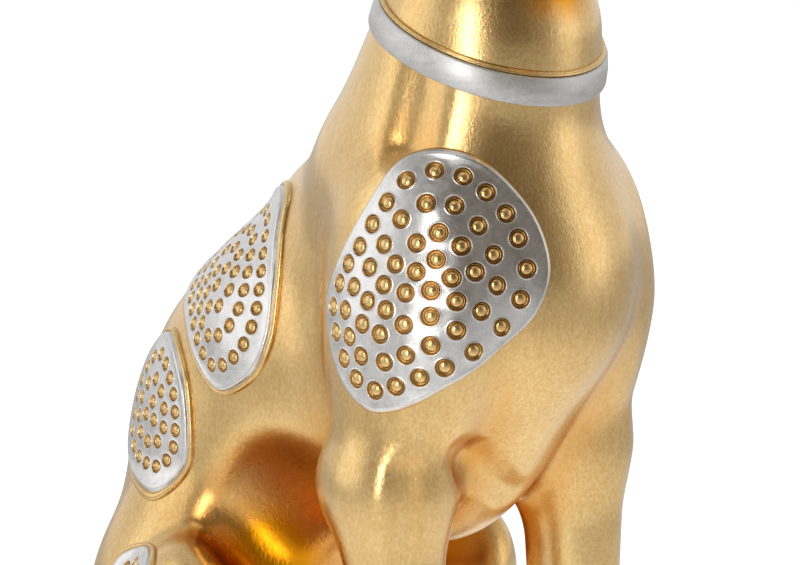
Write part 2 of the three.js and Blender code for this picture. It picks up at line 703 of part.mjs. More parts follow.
// Plates: the heart is the inner point that its chart is seen from, and the outline corners are millimetres
// across and up from where its facing meets the surface.
const plates = [
  {
    name: 'right_shoulder_plate',
    heart: [-17.8, 3.7, chestHeight + 21.9],
    facing: [-0.823, 0.537, 0.185],
    reach: 45,
    corners: [[2, 39.5], [-16, 38.4], [-31.5, 29], [-40.5, 8], [-37, -15], [-15, -31],
      [12, -41], [33, -40], [48, -26], [51.5, -8], [38, 12.5], [19.5, 31]],
  },
  {
    name: 'right_rib_plate',
    heart: [7.5, -89, 191.7],
    facing: [-0.85, -0.299, 0.434],
    reach: 45,
    pitch: smallDimplePitch,
    radius: smallDimpleRadius,
    corners: [[-10, 30.5], [-20, 21], [-27, 8], [-28, -8], [-21, -25], [-9, -34],
      [5.5, -27.5], [20, -14], [29.5, 4], [29.5, 20], [12, 33]],
  },
  {
    name: 'right_haunch_plate',
    heart: [-3.1, -117.2, 153.9],
    facing: [-0.937, -0.307, 0.164],
    reach: 42,
    pitch: smallDimplePitch,
    radius: smallDimpleRadius,
    corners: [[2, 26], [-11, 15.5], [-18, 4], [-18.5, -8], [-13, -17.5], [-3, -21.5],
      [10, -19.5], [19.5, -9], [22, 6], [14, 21]],
  },
  {
    name: 'right_thigh_plate',
    heart: [-44, -110, 88],
    facing: [-0.9, -0.2, 0.4],
    reach: 32,
    pitch: smallDimplePitch,
    radius: smallDimpleRadius,
    corners: [[0, 17], [-11, 12], [-15, 0], [-13, -13], [-3, -20], [9, -17], [15, -4], [12, 10]],
  },
  {
    name: 'rump_plate',
    heart: [0, -125, 92],
    facing: [-0.28, -0.95, 0.05],
    reach: 45,
    corners: [[0, 21], [-14, 17], [-20, 4], [-17, -12], [-5, -22], [10, -21], [19, -8], [17, 9]],
  },
  {
    name: 'left_shoulder_plate',
    heart: [17.8, -12, chestHeight + 14],
    facing: [0.95, -0.05, 0.2],
    reach: 45,
    corners: [[0, 36], [-18, 32], [-30, 17], [-34, -3], [-25, -23], [-7, -34], [14, -32], [30, -18], [35, 3],
      [27, 22], [13, 33]],
  },
  {
    name: 'left_haunch_plate',
    heart: [3, -115, 142],
    facing: [0.93, -0.3, 0.2],
    reach: 44,
    corners: [[0, 27], [-17, 23], [-26, 8], [-25, -10], [-13, -24], [4, -28], [20, -19], [27, -2], [21, 17]],
  },
].map((plate) => {
  const chart = chartOf(plate);
  const dimples = { pitch: dimplePitch, radius: dimpleRadius };
  const outline = smoothOutline(plate.corners);
  // Points under the plate, on a square grid inside the outline
  const inner = [];
  const spacing = 11;
  const span = 5.5 * spacing;
  for (let s = -span; s <= span; s += spacing) {
    for (let t = -span; t <= span; t += spacing) {
      const flat = new THREE.Vector2(s, t);
      const nearRim = outline.some((point) => point.distanceTo(flat) < spacing * 0.55);
      if (insideOutline(flat, outline) && !nearRim) inner.push(flat);
    }
  }
  return { ...dimples, ...plate, chart, outline, inner };
});

// Body casting
const bodySteps = [
  places(-kneeSpread - 29, kneeSpread + 29, fineStep),
  places(rumpBack - 82, forepawForward + 58, fineStep),
  [-4, ...places(0, collarHeight + 34, fineStep)],
];
const hollowSteps = [
  places(-rumpHalfWidth - 10, rumpHalfWidth + 10, hollowStep),
  places(rumpBack - 56, breastForward + 41, hollowStep),
  places(soleHeight + wallThickness, collarHeight - 28.5, hollowStep),
];
const plugPlace = [0, rumpBack - 2];
const underSoles = solidOf(new THREE.BoxGeometry(cutReach, cutReach, cutReach))
  .translate(0, 0, soleHeight - cutReach / 2);
let body = await solidSkin(dogShape, bodySteps, bodyFaces);
body = body.subtract(underSoles).subtract(beyondJoint(true));
body = body.subtract(await solidSkin(trunkShape, hollowSteps, hollowFaces, -wallThickness));
body = body.subtract(spigot(clearance));
body = body.subtract(post(plugPlace, plugRadius + clearance, -2, soleHeight + 20));
for (const plate of plates) body = body.subtract(seatSolid(plate, plate.chart));

// Head casting, with the spigot that fits the body's socket
const headSteps = [
  places(-skullHalfWidth - 21, skullHalfWidth + 21, finerStep),
  places(-62, muzzleTip + 30, finerStep),
  places(collarHeight - 30, skullHeight + 46, finerStep),
];
let headPiece = (await solidSkin(dogShape, headSteps, headFaces)).subtract(beyondJoint(false));
headPiece = headPiece.add(spigot(0));

// Ears, seated in pockets of the head
const ears = [];
for (const [name, side] of [['right_ear', -1], ['left_ear', 1]]) {
  const steps = [
    places(34 * side - 16, 34 * side + 16, finerStep),
    places(-26, 30, finerStep),
    places(skullHeight - 56, skullHeight + 30, finerStep),
  ];
  const pocket = await solidSkin(earShape(side), steps, earPocketFaces, clearance + snugness);
  headPiece = headPiece.subtract(pocket);
  ears.push([name, await solidSkin(earShape(side), steps, earFaces)]);
}

// Tail, seated in a pocket of the rump
const tailSteps = [
  places(-22, 98, finerStep),
  places(rumpBack - 84, rumpBack - 8, finerStep),
  places(-8, 60, finerStep),
];
const tail = (await solidSkin(tailShape, tailSteps, tailFaces)).subtract(underSoles);
body = body.subtract(await solidSkin(tailShape, tailSteps, tailPocketFaces, clearance + snugness));

// Collar band and the gold piping on its upper edge
const half = bandHeight / 2;
const soft = 0.7;
const bandRing = neckRing([
  [-half, clearance],
  [-half, bandThickness - soft],
  [-half + soft, bandThickness],
  [half - soft, bandThickness],
  [half, bandThickness - soft],
  [half, clearance],
], ringSides);
const seatBottom = -half - clearance;
const seatTop = half + 2 * pipingRadius + 4 * clearance;
const seatReach = 2 * bandThickness;
const bandSeat = neckRing(
  [[seatBottom, 0], [seatBottom, seatReach], [seatTop, seatReach], [seatTop, 0]],
  ringSides,
);
body = body.subtract(bandSeat);
headPiece = headPiece.subtract(bandSeat);
const pipingMiddle = half + clearance + pipingRadius;
const pipingCorners = 5;
const pipingSection = Array.from({ length: pipingCorners }, (_, i) => {
  const angle = (2 * Math.PI * (i + 0.5)) / pipingCorners;
  return [
    pipingMiddle - pipingRadius * Math.cos(angle),
    clearance + pipingRadius - pipingRadius * Math.sin(angle),
  ];
});
const pipingRing = neckRing(pipingSection, ringSides);

// Closing plug and felt pads
const plug = post(plugPlace, plugRadius, soleHeight, soleHeight + plugThickness, 28);
const pads = [
  ['right_fore_pad', [-forelegSpread - 0.5, forepawForward], pawPadRadius],
  ['left_fore_pad', [forelegSpread + 0.5, forepawForward], pawPadRadius],
  ['right_hind_pad', [-kneeSpread - 2, kneeForward + 22], pawPadRadius],
  ['left_hind_pad', [kneeSpread + 2, kneeForward + leftKneeAhead + 22], pawPadRadius],
  ['rump_pad', plugPlace, rumpPadRadius],
];

const dog = new THREE.Group();

function addPiece(name, piece, finish) {
  const { vertProperties, triVerts } = piece.getMesh();
  const geometry = new THREE.BufferGeometry();
  geometry.setAttribute('position', new THREE.BufferAttribute(new Float32Array(vertProperties), 3));
  geometry.setIndex(new THREE.BufferAttribute(new Uint32Array(triVerts), 1));
  const mesh = new THREE.Mesh(geometry, new THREE.MeshStandardMaterial(finish));
  mesh.name = name;
  dog.add(mesh);
}

addPiece('body_casting', body, gold);
addPiece('head_casting', headPiece, gold);
for (const [name, piece] of ears) addPiece(name, piece, gold);
addPiece('tail', tail, gold);
addPiece('collar_band', bandRing, silver);
addPiece('collar_piping', pipingRing, gold);
for (const plate of plates) addPiece(plate.name, plateSolid(plate, plate.chart), silver);
addPiece('base_plug', plug, resin);
for (const [name, place, radius] of pads) addPiece(name, post(place, radius, 0, padThickness, 24), felt);

// The origin goes under the middle of the whole dog.
const bounds = new THREE.Box3().setFromObject(dog);
const middle = bounds.getCenter(new THREE.Vector3());
dog.position.set(-middle.x, -middle.y, -bounds.min.z);

export default dog;
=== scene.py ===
# Sitting dog sculpture, gilded, with raised silver plates of beaded dimples and a silver collar band.
# Forms are in millimetres as [left, forward, up], as in the part's source; meshes are in metres.
import math

import bpy
import numpy as np
import openvdb
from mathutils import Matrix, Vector
from mathutils.geometry import delaunay_2d_cdt


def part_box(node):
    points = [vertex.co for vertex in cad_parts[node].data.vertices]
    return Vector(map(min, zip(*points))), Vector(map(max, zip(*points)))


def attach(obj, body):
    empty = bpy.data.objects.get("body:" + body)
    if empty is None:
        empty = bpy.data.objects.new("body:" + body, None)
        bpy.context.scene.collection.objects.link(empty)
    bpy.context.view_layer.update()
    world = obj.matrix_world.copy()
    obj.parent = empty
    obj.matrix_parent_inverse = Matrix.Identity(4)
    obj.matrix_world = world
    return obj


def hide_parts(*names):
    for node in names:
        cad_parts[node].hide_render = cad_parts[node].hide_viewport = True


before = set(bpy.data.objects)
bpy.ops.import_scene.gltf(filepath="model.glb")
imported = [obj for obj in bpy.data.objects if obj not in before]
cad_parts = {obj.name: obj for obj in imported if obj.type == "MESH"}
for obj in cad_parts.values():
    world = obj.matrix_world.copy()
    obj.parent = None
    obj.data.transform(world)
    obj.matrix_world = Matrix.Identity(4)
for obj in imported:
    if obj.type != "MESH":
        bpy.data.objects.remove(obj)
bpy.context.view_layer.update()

# The rump pad's middle shows where the part's source puts its own origin.
PLUG = (0, -126)
pad_low, pad_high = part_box("rump_pad")
ORIGIN = np.array([(pad_low.x + pad_high.x) / 2, (pad_low.y + pad_high.y) / 2 + PLUG[1] / 1000, 0])

SOLE = 2.0
SKULL = 378
COLLAR_HEIGHT = 314.5
COLLAR_TILT = math.radians(20)
JOINT_GAP = 0.15
PLUG_RADIUS = 19.3
PLUG_TOP = 22

# The photograph's width and the place in it that the camera aims at, in pixels, the millimetres that a pixel
# spans there, and the camera
PHOTO_WIDTH = 800
PHOTO_AIM = (399.6, 282.4)
PIXEL = 0.37
CAMERA_DISTANCE = 1.7
AIM = Vector((0.0086, 0.0075, 0.2152))
BACK = Vector((-0.6917, -0.6917, 0.2079))
RIGHT = Vector((0.7071, -0.7071, 0))
UP = Vector((0.147, 0.147, 0.978))


def metres(points):
    """Points in the part's millimetres, as metres in the frame."""
    return np.stack([points[0], -points[1], points[2]], axis=1) / 1000 + ORIGIN


# Rounded forms and their melting


def ball(at, half, nod=0, turn=0, lean=0, blend=12, both=False, carve=False):
    """An ellipsoid with its half sizes, turned by degrees."""
    p, y, r = np.radians([nod, turn, lean])
    turned = np.array([[math.cos(y), math.sin(y), 0], [-math.sin(y), math.cos(y), 0], [0, 0, 1]])
    nodded = np.array([[1, 0, 0], [0, math.cos(p), -math.sin(p)], [0, math.sin(p), math.cos(p)]])
    leant = np.array([[math.cos(r), 0, math.sin(r)], [0, 1, 0], [-math.sin(r), 0, math.cos(r)]])
    unswing = (turned @ nodded @ leant).T
    at, half = np.array(at, float)[:, None], np.array(half, float)[:, None]

    def distance(p):
        q = unswing.astype(p.dtype) @ (p - at.astype(p.dtype))
        near = np.sqrt(((q / half) ** 2).sum(0))
        slope = np.sqrt(((q / half**2) ** 2).sum(0)) + 1e-9
        return near * (near - 1) / slope

    return distance, blend, both, carve


def limb(start, start_radius, end, end_radius, wide=1, blend=12, both=False, carve=False):
    """A round cone with rounded ends, broader from side to side by the factor wide."""
    squeeze = np.array([1 / wide, 1, 1])
    start = np.array(start, float) * squeeze
    along = np.array(end, float) * squeeze - start
    length = np.linalg.norm(along)
    along /= length
    sine = (start_radius - end_radius) / length
    cosine = math.sqrt(1 - sine * sine)

    def distance(p):
        q = p * squeeze[:, None].astype(p.dtype) - start[:, None].astype(p.dtype)
        height = along.astype(p.dtype) @ q
        away = np.sqrt(np.maximum((q * q).sum(0) - height * height, 0))
        slant = cosine * height - sine * away
        reach = cosine * away + sine * height - start_radius
        reach = np.where(slant < 0, np.hypot(away, height) - start_radius, reach)
        beyond = np.hypot(away, height - length) - end_radius
        reach = np.where(slant > cosine * length, beyond, reach)
        return reach * min(1, wide)

    return distance, blend, both, carve


def melt(forms):
    """One shape from forms that are added or carved in turn, each with its own soft blend."""

    def shape(p):
        mirrored = p.copy()
        mirrored[0] = np.abs(mirrored[0])
        reach = np.full(p.shape[1], 1000, p.dtype)
        for distance, blend, both, carve in forms:
            value = distance(mirrored if both else p)
            if carve:
                value = -value
            overlap = np.maximum(blend - np.abs(reach - value), 0) / blend
            soft = overlap * overlap * (blend / 4)
            reach = np.maximum(reach, value) + soft if carve else np.minimum(reach, value) - soft
        return reach

    return shape


def toe_places(side, forward, spread):
    """Each toe's place from side to side, its place forward and the degrees that it points outwards."""
    for place in (-1.5, -0.5, 0.5, 1.5):
        across = place * spread
        yield side + across, forward - abs(across) * 0.35, across * 1.2


def toes(side, forward, spread, both=False):
    return [
        ball([x, f, 8], [spread * 0.6, 10, 8.2], turn=turn, blend=2.5, both=both)
        for x, f, turn in toe_places(side, forward, spread)
    ]


def claws(side, forward, spread, both=False):
    made = []
    for x, f, turn in toe_places(side, forward, spread):
        sideways, ahead = math.sin(math.radians(turn)), math.cos(math.radians(turn))
        root = [x + 7.5 * sideways, f + 7.5 * ahead, 8.6]
        end = [x + 12.2 * sideways, f + 12.2 * ahead, 4.2]
        made.append(limb(root, 2.1, end, 0.9, blend=1.2, both=both))
    return made


TRUNK = [
    ball([0, -42, 208], [42, 69, 65], nod=-38, blend=16),
    ball([0, -22, 182], [29, 42, 58], nod=-16, blend=30),
    ball([0, 19, 228], [43, 35, 40], blend=30),
    ball([0, -81, 195], [44, 42, 30], nod=-47, blend=16),
    ball([0, -101, 162], [42, 60, 45], nod=-50, blend=34),
    ball([0, -124, 106], [50, 51, 86], nod=4, blend=30),
    ball([0, -126, 26], [42, 40, 30], blend=24),
    ball([43, 1, 219], [18, 34, 50], nod=-8, blend=14, both=True),
]
NECK = [
    limb([0, -9, 256], 48, [0, 0, COLLAR_HEIGHT], 36.5, blend=26),
    limb([0, -31, 267], 36, [0, 0, COLLAR_HEIGHT + 4], 33, blend=20),
    limb([0, 0, COLLAR_HEIGHT - 9], 36, [0, -2, COLLAR_HEIGHT + 30], 32, blend=6),
]
FORELEGS = [
    limb([42, 2, 214], 22, [46, -4, 160], 21.5, wide=0.85, blend=20, both=True),
    ball([47, -18, 155], [13, 17, 17], both=True),
    limb([47, -2, 156], 20, [46, 1, 50], 15, wide=0.94, blend=14, both=True),
    ball([46, 2, 48], [15.5, 16, 14], both=True),
    limb([46, 4, 42], 13.5, [46, 12, 16], 13.5, blend=10, both=True),
    ball([46.5, 18, 12], [17.5, 22, 13], blend=8, both=True),
    *toes(46.5, 33, 9, both=True),
]


def hind_leg(side, ahead):
    """A folded hind leg, and the hollow between its thigh and the belly."""
    knee = [61 * side, -90 + ahead, 97]
    paw = [63 * side, -66 + ahead, 12]
    return [
        ball([44 * side, -116 + ahead / 2, 74], [28, 44, 52], nod=20, blend=24),
        ball(knee, [20, 27, 27], blend=10),
        limb([62 * side, knee[1], 86], 20, [60 * side, -148, 21], 12, blend=14),
        limb([60 * side, -150, 18], 13, [paw[0], paw[1] - 22, 13], 13, blend=8),
        ball(paw, [16.5, 22, 13], blend=8),
        *toes(paw[0], paw[1] + 15, 8.6),
        ball([46 * side, -66 + ahead, 131], [15, 22, 22], blend=20, carve=True),
    ]


LIP_KNOTS = [[14.2, 57, 350.8], [14.7, 66, 347.5], [14.2, 75, 346.2], [13.2, 84, 347], [11, 92.5, 349.5]]
LIP_LINE = [limb(a, 1, b, 1, blend=1.2, both=True, carve=True) for a, b in zip(LIP_KNOTS, LIP_KNOTS[1:])]
HEAD = [
    ball([0, 12, SKULL], [31, 37, 30], nod=-10, blend=24),
    ball([16, 24, 364], [14, 22, 19], blend=14, both=True),
    limb([0, 38, 370], 20, [0, 84, 362], 14.5, wide=0.86),
    ball([7, 72, 354], [9, 25, 13], nod=-6, blend=8, both=True),
    limb([0, 30, 352], 13, [0, 80, 347], 8.5, blend=5),
    ball([0, 98.5, 368], [8.5, 6, 7], blend=7),
    ball([15, 40, 385], [9, 10, 6], turn=12, blend=7, both=True),
    ball([19, 44.4, 376.7], [4.6, 4.8, 4], blend=1, both=True),
    limb([23.2, 41.8, 377.4], 1, [21, 45.6, 381.1], 1.3, blend=1, both=True),
    limb([21, 45.6, 381.1], 1.3, [18, 49.2, 377.6], 1, blend=1, both=True),
    limb([23.2, 41.8, 377.4], 1, [21, 45.4, 372.8], 1, blend=1, both=True),
    limb([21, 45.4, 372.8], 1, [18, 49.2, 377.6], 1, blend=1, both=True),
    ball([3.8, 103.6, 369.2], [1.9, 3, 1.7], blend=1.2, both=True, carve=True),
    limb([0, 99.3, 359], 0.9, [0, 97, 353], 0.9, blend=1.2, carve=True),
    *LIP_LINE,
]
HIND_LEGS = hind_leg(-1, 0) + hind_leg(1, 12)
DOG = TRUNK + NECK + FORELEGS + HIND_LEGS + HEAD
dog_shape = melt(DOG)
CLAWS = claws(46.5, 33, 9, both=True) + claws(-63, -51, 8.6) + claws(63, -39, 8.6)


# Surfaces of shapes


def slope_at(shape, p, reach=0.2):
    """The shape's gradient at each point."""
    moves = reach * np.eye(3)
    return np.stack([(shape(p + m[:, None]) - shape(p - m[:, None])) / (2 * reach) for m in moves])


def settle(shape, p, rounds=3):
    """Points slid onto the surface, and the surface's normals there."""
    for _ in range(rounds):
        slope = slope_at(shape, p)
        step = shape(p) / np.maximum((slope * slope).sum(0), 0.05)
        p = p - slope * np.clip(step, -1.5, 1.5)
    slope = slope_at(shape, p)
    return p, slope / (np.linalg.norm(slope, axis=0) + 1e-9)


def skin(shape, low, high, step, block=8):
    """Points and four-sided faces of a shape's surface, worked out finely only in blocks near it."""
    low = np.array(low, float)
    blocks = np.ceil((np.array(high, float) - low) / (step * block)).astype(int)
    centres = np.stack(np.meshgrid(*[np.arange(n) for n in blocks], indexing="ij")).reshape(3, -1)
    middles = low[:, None] + (centres + 0.5 - 0.5 / block) * block * step
    depth = shape(middles)
    values = depth.reshape(blocks)
    for axis in range(3):
        values = np.repeat(values, block, axis)
    values = values.astype(np.float32)
    near = np.where(np.abs(depth) < 1.7 * step * block)[0]
    inner = np.stack(np.meshgrid(*[np.arange(block)] * 3, indexing="ij")).reshape(3, -1)
    for some in np.array_split(near, max(len(near) // 600, 1)):
        cells = (centres[:, some, None] * block + inner[:, None, :]).reshape(3, -1)
        values[tuple(cells)] = shape((low[:, None] + cells * step).astype(np.float32))
    grid = openvdb.FloatGrid(float(4 * block))
    grid.copyFromArray(values)
    points, triangles, quads = grid.convertToPolygons(0.0, 0.0)
    assert len(triangles) == 0
    spots = low[:, None] + points.T.astype(float) * step
    return spots, quads[:, ::-1].astype(int)


def painted_crevice_shade(shape, p, normals, spans=(5, 12, 26)):
    """How much painted shade each surface point gets for how shut in it is: 0 in the open, towards 1 deep in a
    fold.
    """
    painted_fold_shade = 0
    for span in spans:
        painted_fold_shade = painted_fold_shade + np.clip(1 - shape(p + normals * span) / span, 0, 1) / len(spans)
    return painted_fold_shade


def cast_out(shape, start, along, lift, stride=4):
    """Where rays out of a shape's inside reach its surface at a lift."""
    near = np.zeros(along.shape[1])
    far = near + stride
    busy = np.ones(len(near), bool)
    while busy.any():
        out = shape(start[:, busy] + along[:, busy] * far[busy]) - lift > 0
        went = np.where(busy)[0][~out]
        near[went] = far[went]
        far[went] += stride
        busy[np.where(busy)[0][out]] = False
    for _ in range(16):
        middle = (near + far) / 2
        under = shape(start + along * middle) - lift < 0
        near = np.where(under, middle, near)
        far = np.where(under, far, middle)
    return start + along * (near + far) / 2


def in_photo(places, lift, ahead=300):
    """Where places in the photograph, in pixels from its top left, lie on the dog's surface at a lift."""
    distance = CAMERA_DISTANCE * 1000
    right, up, back = (np.array(v) * [1, -1, 1] for v in (RIGHT, UP, BACK))
    eye = (np.array(AIM) - ORIGIN) * [1000, -1000, 1000] + back * distance
    x, y = (np.array(places, float) - PHOTO_AIM).T * PIXEL
    along = np.outer(right, x) - np.outer(up, y) - back[:, None] * distance
    along /= np.linalg.norm(along, axis=0)
    start = eye[:, None] + along * (distance - ahead)
    # The rays start in the room round the dog, which is the inside of the shape turned inside out.
    return cast_out(lambda p: -dog_shape(p), start, along, -lift)


def spaced(knots, count, closed):
    """Evenly spaced points on a centripetal curve through knots, about 6 mm apart if count is None."""
    knots = np.array(knots, float)
    total = len(knots)
    dense = []
    for i in range(total if closed else total - 1):
        around = [knots[(i + k) % total] if closed or 0 <= i + k < total else None for k in (-1, 0, 1, 2)]
        a, b, c, d = around
        a = 2 * b - c if a is None else a
        d = 2 * c - b if d is None else d
        gaps = [max(np.linalg.norm(q - p) ** 0.5, 1e-4) for p, q in ((a, b), (b, c), (c, d))]
        leave = ((b - a) / gaps[0] - (c - a) / (gaps[0] + gaps[1]) + (c - b) / gaps[1]) * gaps[1]
        arrive = ((c - b) / gaps[1] - (d - b) / (gaps[1] + gaps[2]) + (d - c) / gaps[2]) * gaps[1]
        for t in np.arange(0, 1, 0.02):
            dense.append(
                (2 * t**3 - 3 * t**2 + 1) * b + (t**3 - 2 * t**2 + t) * leave
                + (3 * t**2 - 2 * t**3) * c + (t**3 - t**2) * arrive
            )
    dense.append(knots[0] if closed else knots[-1])
    dense = np.array(dense)
    walked = np.concatenate([[0], np.cumsum(np.linalg.norm(np.diff(dense, axis=0), axis=1))])
    if count is None:
        count = round(walked[-1] / 6)
    marks = np.linspace(0, walked[-1], count + 1)
    marks = marks[:-1] if closed else marks
    return np.stack([np.interp(marks, walked, dense[:, k]) for k in range(dense.shape[1])], axis=1)


def add_mesh(name, points, faces, materials, looks=None, picks=None):
    """A smooth-shaded mesh riding on the body. Looks are values per point, picks each face's material."""
    mesh = bpy.data.meshes.new(name)
    faces = [list(map(int, face)) for face in faces]
    mesh.from_pydata(metres(points).tolist(), [], faces)
    mesh.polygons.foreach_set("use_smooth", [True] * len(faces))
    if picks is not None:
        mesh.polygons.foreach_set("material_index", [int(pick) for pick in picks])
    for look, values in (looks or {}).items():
        layer = mesh.attributes.new(look, "FLOAT", "POINT")
        layer.data.foreach_set("value", np.asarray(values, np.float32))
    mesh.update()
    thing = bpy.data.objects.new(name, mesh)
    bpy.context.scene.collection.objects.link(thing)
    for material in materials:
        mesh.materials.append(material)
    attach(thing, "root")
    return thing


# Materials


class Nodes:
    """Short ways to add shader nodes to a material or world."""

    def __init__(self, owner):
        owner.use_nodes = True
        self.tree = owner.node_tree
        self.tree.nodes.clear()

    def add(self, kind, out=0, settings=None, **inputs):
        """A node's output, or the node if out is None. Inputs go by name, or by number as i0 and so on."""
        node = self.tree.nodes.new("ShaderNode" + kind)
        for key, value in (settings or {}).items():
            setattr(node, key, value)
        for key, value in inputs.items():
            numbered = key[0] == "i" and key[1:].isdigit()
            socket = node.inputs[int(key[1:]) if numbered else key.replace("_", " ")]
            if isinstance(value, bpy.types.NodeSocket):
                self.tree.links.new(value, socket)
            else:
                socket.default_value = value
        return node if out is None else node.outputs[out]

    def ramp(self, value, stops):
        node = self.add("ValToRGB", None, i0=value)
        band = node.color_ramp
        while len(band.elements) < len(stops):
            band.elements.new(0.5)
        for element, (place, colour) in zip(band.elements, stops):
            element.position = place
            element.color = (*colour, 1)
        return node.outputs[0]

    def mix(self, share, a, b, way="MIX"):
        return self.add("Mix", 2, dict(data_type="RGBA", blend_type=way), i0=share, i6=a, i7=b)

    def math(self, way, a, b=0.0, c=0.0):
        return self.add("Math", 0, dict(operation=way), i0=a, i1=b, i2=c)

    def noise(self, where, scale, detail=3.0, roughness=0.5, distortion=0.0):
        grain = dict(Scale=scale, Detail=detail, Roughness=roughness, Distortion=distortion)
        return self.add("TexNoise", 0, None, Vector=where, **grain)

    def stretched(self, where, size, turn=(0, 0, 0)):
        return self.add("Mapping", 0, None, Vector=where, Scale=size, Rotation=turn)

    def surface(self, shader):
        self.add("OutputMaterial", None, Surface=shader)


def srgb(r, g, b):
    """A colour as a screen shows it, in the linear values that shaders take."""
    return tuple(((c + 0.055) / 1.055) ** 2.4 if c > 0.04 else c / 12.92 for c in (r, g, b))


def gold_material():
    """Champagne gold with flakes and brush strokes, with painted shade: deep orange where shut in, standing
    for gold mirrored in gold, and brown in the cups.
    """
    material = bpy.data.materials.new("antique_gold")
    n = Nodes(material)
    where = n.add("TexCoord", 3)
    painted_fold_shade = n.add("Attribute", 2, dict(attribute_name="painted_crevice_shade"))
    flake = n.noise(n.stretched(where, (1000.0, 1000.0, 560.0), (0.5, 0.35, 0.0)), 1.0, 3.0, 0.65, 0.4)
    strokes = n.noise(n.stretched(where, (330.0, 330.0, 80.0), (0.25, 0.1, 0.0)), 1.0, 4.0, 0.62, 0.6)
    patches = n.noise(where, 26.0, 4.0, 0.55)
    body = n.ramp(patches, [(0.3, srgb(0.82, 0.67, 0.415)), (0.7, srgb(0.89, 0.75, 0.5))])
    stroked = n.ramp(strokes, [(0.3, srgb(0.78, 0.6, 0.33)), (0.7, srgb(0.96, 0.86, 0.63))])
    flaked = n.ramp(flake, [(0.35, srgb(0.7, 0.5, 0.24)), (0.66, srgb(1.0, 0.92, 0.72))])
    body = n.mix(0.2, n.mix(0.2, body, stroked), flaked)
    # Painted shade: the gold turns deep orange where it is shut in, standing for gold mirrored in gold.
    depth = n.ramp(painted_fold_shade, [(0.15, (0, 0, 0)), (0.65, (1, 1, 1))])
    colour = n.mix(depth, body, (*srgb(0.8, 0.52, 0.06), 1))
    # Painted shade: the gold turns brown in the dimples' grooves and in the rims' groove.
    cup = n.add("Attribute", 2, dict(attribute_name="cup"))
    colour = n.mix(cup, colour, (*srgb(0.56, 0.41, 0.19), 1))
    rough = n.math("MULTIPLY_ADD", patches, 0.12, 0.21)
    height = n.math("ADD", n.math("MULTIPLY", flake, 0.6), n.math("MULTIPLY", strokes, 0.35))
    bump = n.add("Bump", 0, None, Height=height, Strength=0.38, Distance=0.0004)
    coat = n.math("MULTIPLY_ADD", depth, -0.3, 0.3)
    n.surface(n.add(
        "BsdfPrincipled", 0, None, Base_Color=colour, Metallic=1.0, Roughness=rough, Normal=bump,
        Coat_Weight=coat, Coat_Roughness=0.15,
    ))
    return material


def silver_material(name, brush, gloss, pale):
    """Brushed silver with its strokes' stretch, its least roughness and its lightest grey."""
    material = bpy.data.materials.new(name)
    n = Nodes(material)
    where = n.add("TexCoord", 3)
    strokes = n.noise(n.stretched(where, brush), 1.0, 4.0, 0.6, 0.3)
    grain = n.noise(where, 1500.0, 2.0, 0.6)
    clouds = n.noise(where, 210.0, 6.0, 0.68, 1.4)
    dull = srgb(pale - 0.1, pale - 0.11, pale - 0.135)
    bright = srgb(pale, pale - 0.01, pale - 0.03)
    body = n.ramp(clouds, [(0.32, dull), (0.62, bright)])
    stroked = n.ramp(strokes, [(0.3, srgb(0.76, 0.76, 0.77)), (0.7, srgb(0.95, 0.95, 0.95))])
    grained = n.ramp(grain, [(0.35, srgb(0.66, 0.66, 0.68)), (0.7, srgb(0.98, 0.98, 0.98))])
    body = n.mix(0.15, n.mix(0.3, body, stroked), grained)
    rough = n.math("MULTIPLY_ADD", clouds, 0.2, gloss)
    height = n.math("ADD", n.math("MULTIPLY", strokes, 0.4), n.math("MULTIPLY", grain, 0.3))
    height = n.math("ADD", height, n.math("MULTIPLY", clouds, 0.5))
    bump = n.add("Bump", 0, None, Height=height, Strength=0.16, Distance=0.0004)
    n.surface(n.add("BsdfPrincipled", 0, None, Base_Color=body, Metallic=1.0, Roughness=rough, Normal=bump))
    return material


def plain_material(name, dark, light, roughness, scale, depth):
    """A matt material with a fine grain of a scale and a depth."""
    material = bpy.data.materials.new(name)
    n = Nodes(material)
    where = n.add("TexCoord", 3)
    grain = n.noise(where, scale, 4.0, 0.65)
    body = n.ramp(grain, [(0.3, dark), (0.7, light)])
    bump = n.add("Bump", 0, None, Height=grain, Strength=0.5, Distance=depth)
    n.surface(n.add("BsdfPrincipled", 0, None, Base_Color=body, Roughness=roughness, Normal=bump))
    return material


gold = gold_material()
silver = silver_material("brushed_silver", (300.0, 300.0, 90.0), 0.2, 0.87)
band_silver = silver_material("collar_silver", (70.0, 70.0, 500.0), 0.38, 0.78)
felt = plain_material("felt", srgb(0.13, 0.12, 0.11), srgb(0.21, 0.19, 0.18), 0.95, 2200.0, 0.0003)
resin = plain_material("plug_resin", srgb(0.78, 0.74, 0.68), srgb(0.88, 0.85, 0.79), 0.65, 900.0, 0.0002)


# Castings

COLLAR_UP = np.array([0, math.sin(COLLAR_TILT), math.cos(COLLAR_TILT)])
COLLAR_FRONT = np.array([0, math.cos(COLLAR_TILT), -math.sin(COLLAR_TILT)])
COLLAR_LEFT = np.array([1.0, 0, 0])
COLLAR_MIDDLE = np.array([0, 0, COLLAR_HEIGHT], float)


def above_collar(p):
    return COLLAR_UP.astype(p.dtype) @ (p - COLLAR_MIDDLE[:, None].astype(p.dtype))


# Folds of the skin: beside the neck's tendon, in the armpit and on the upper foreleg
FOLDS = [
    limb([-44.5, 7, 306], 4.5, [-47.5, 4, 284], 4.5, blend=12, carve=True),
    limb([-39, 24.8, 172], 1.2, [-29, 19.8, 165.5], 2.7, blend=10, carve=True),
    limb([-29, 19.8, 165.5], 2.7, [-3, 16.2, 148], 2.4, blend=10, carve=True),
    limb([-62, 20.5, 166], 4, [-61, 16.8, 128], 4, blend=9, carve=True),
]
body_forms = melt(TRUNK + NECK + FORELEGS + HIND_LEGS + FOLDS + CLAWS)
head_forms = melt(NECK + HEAD)


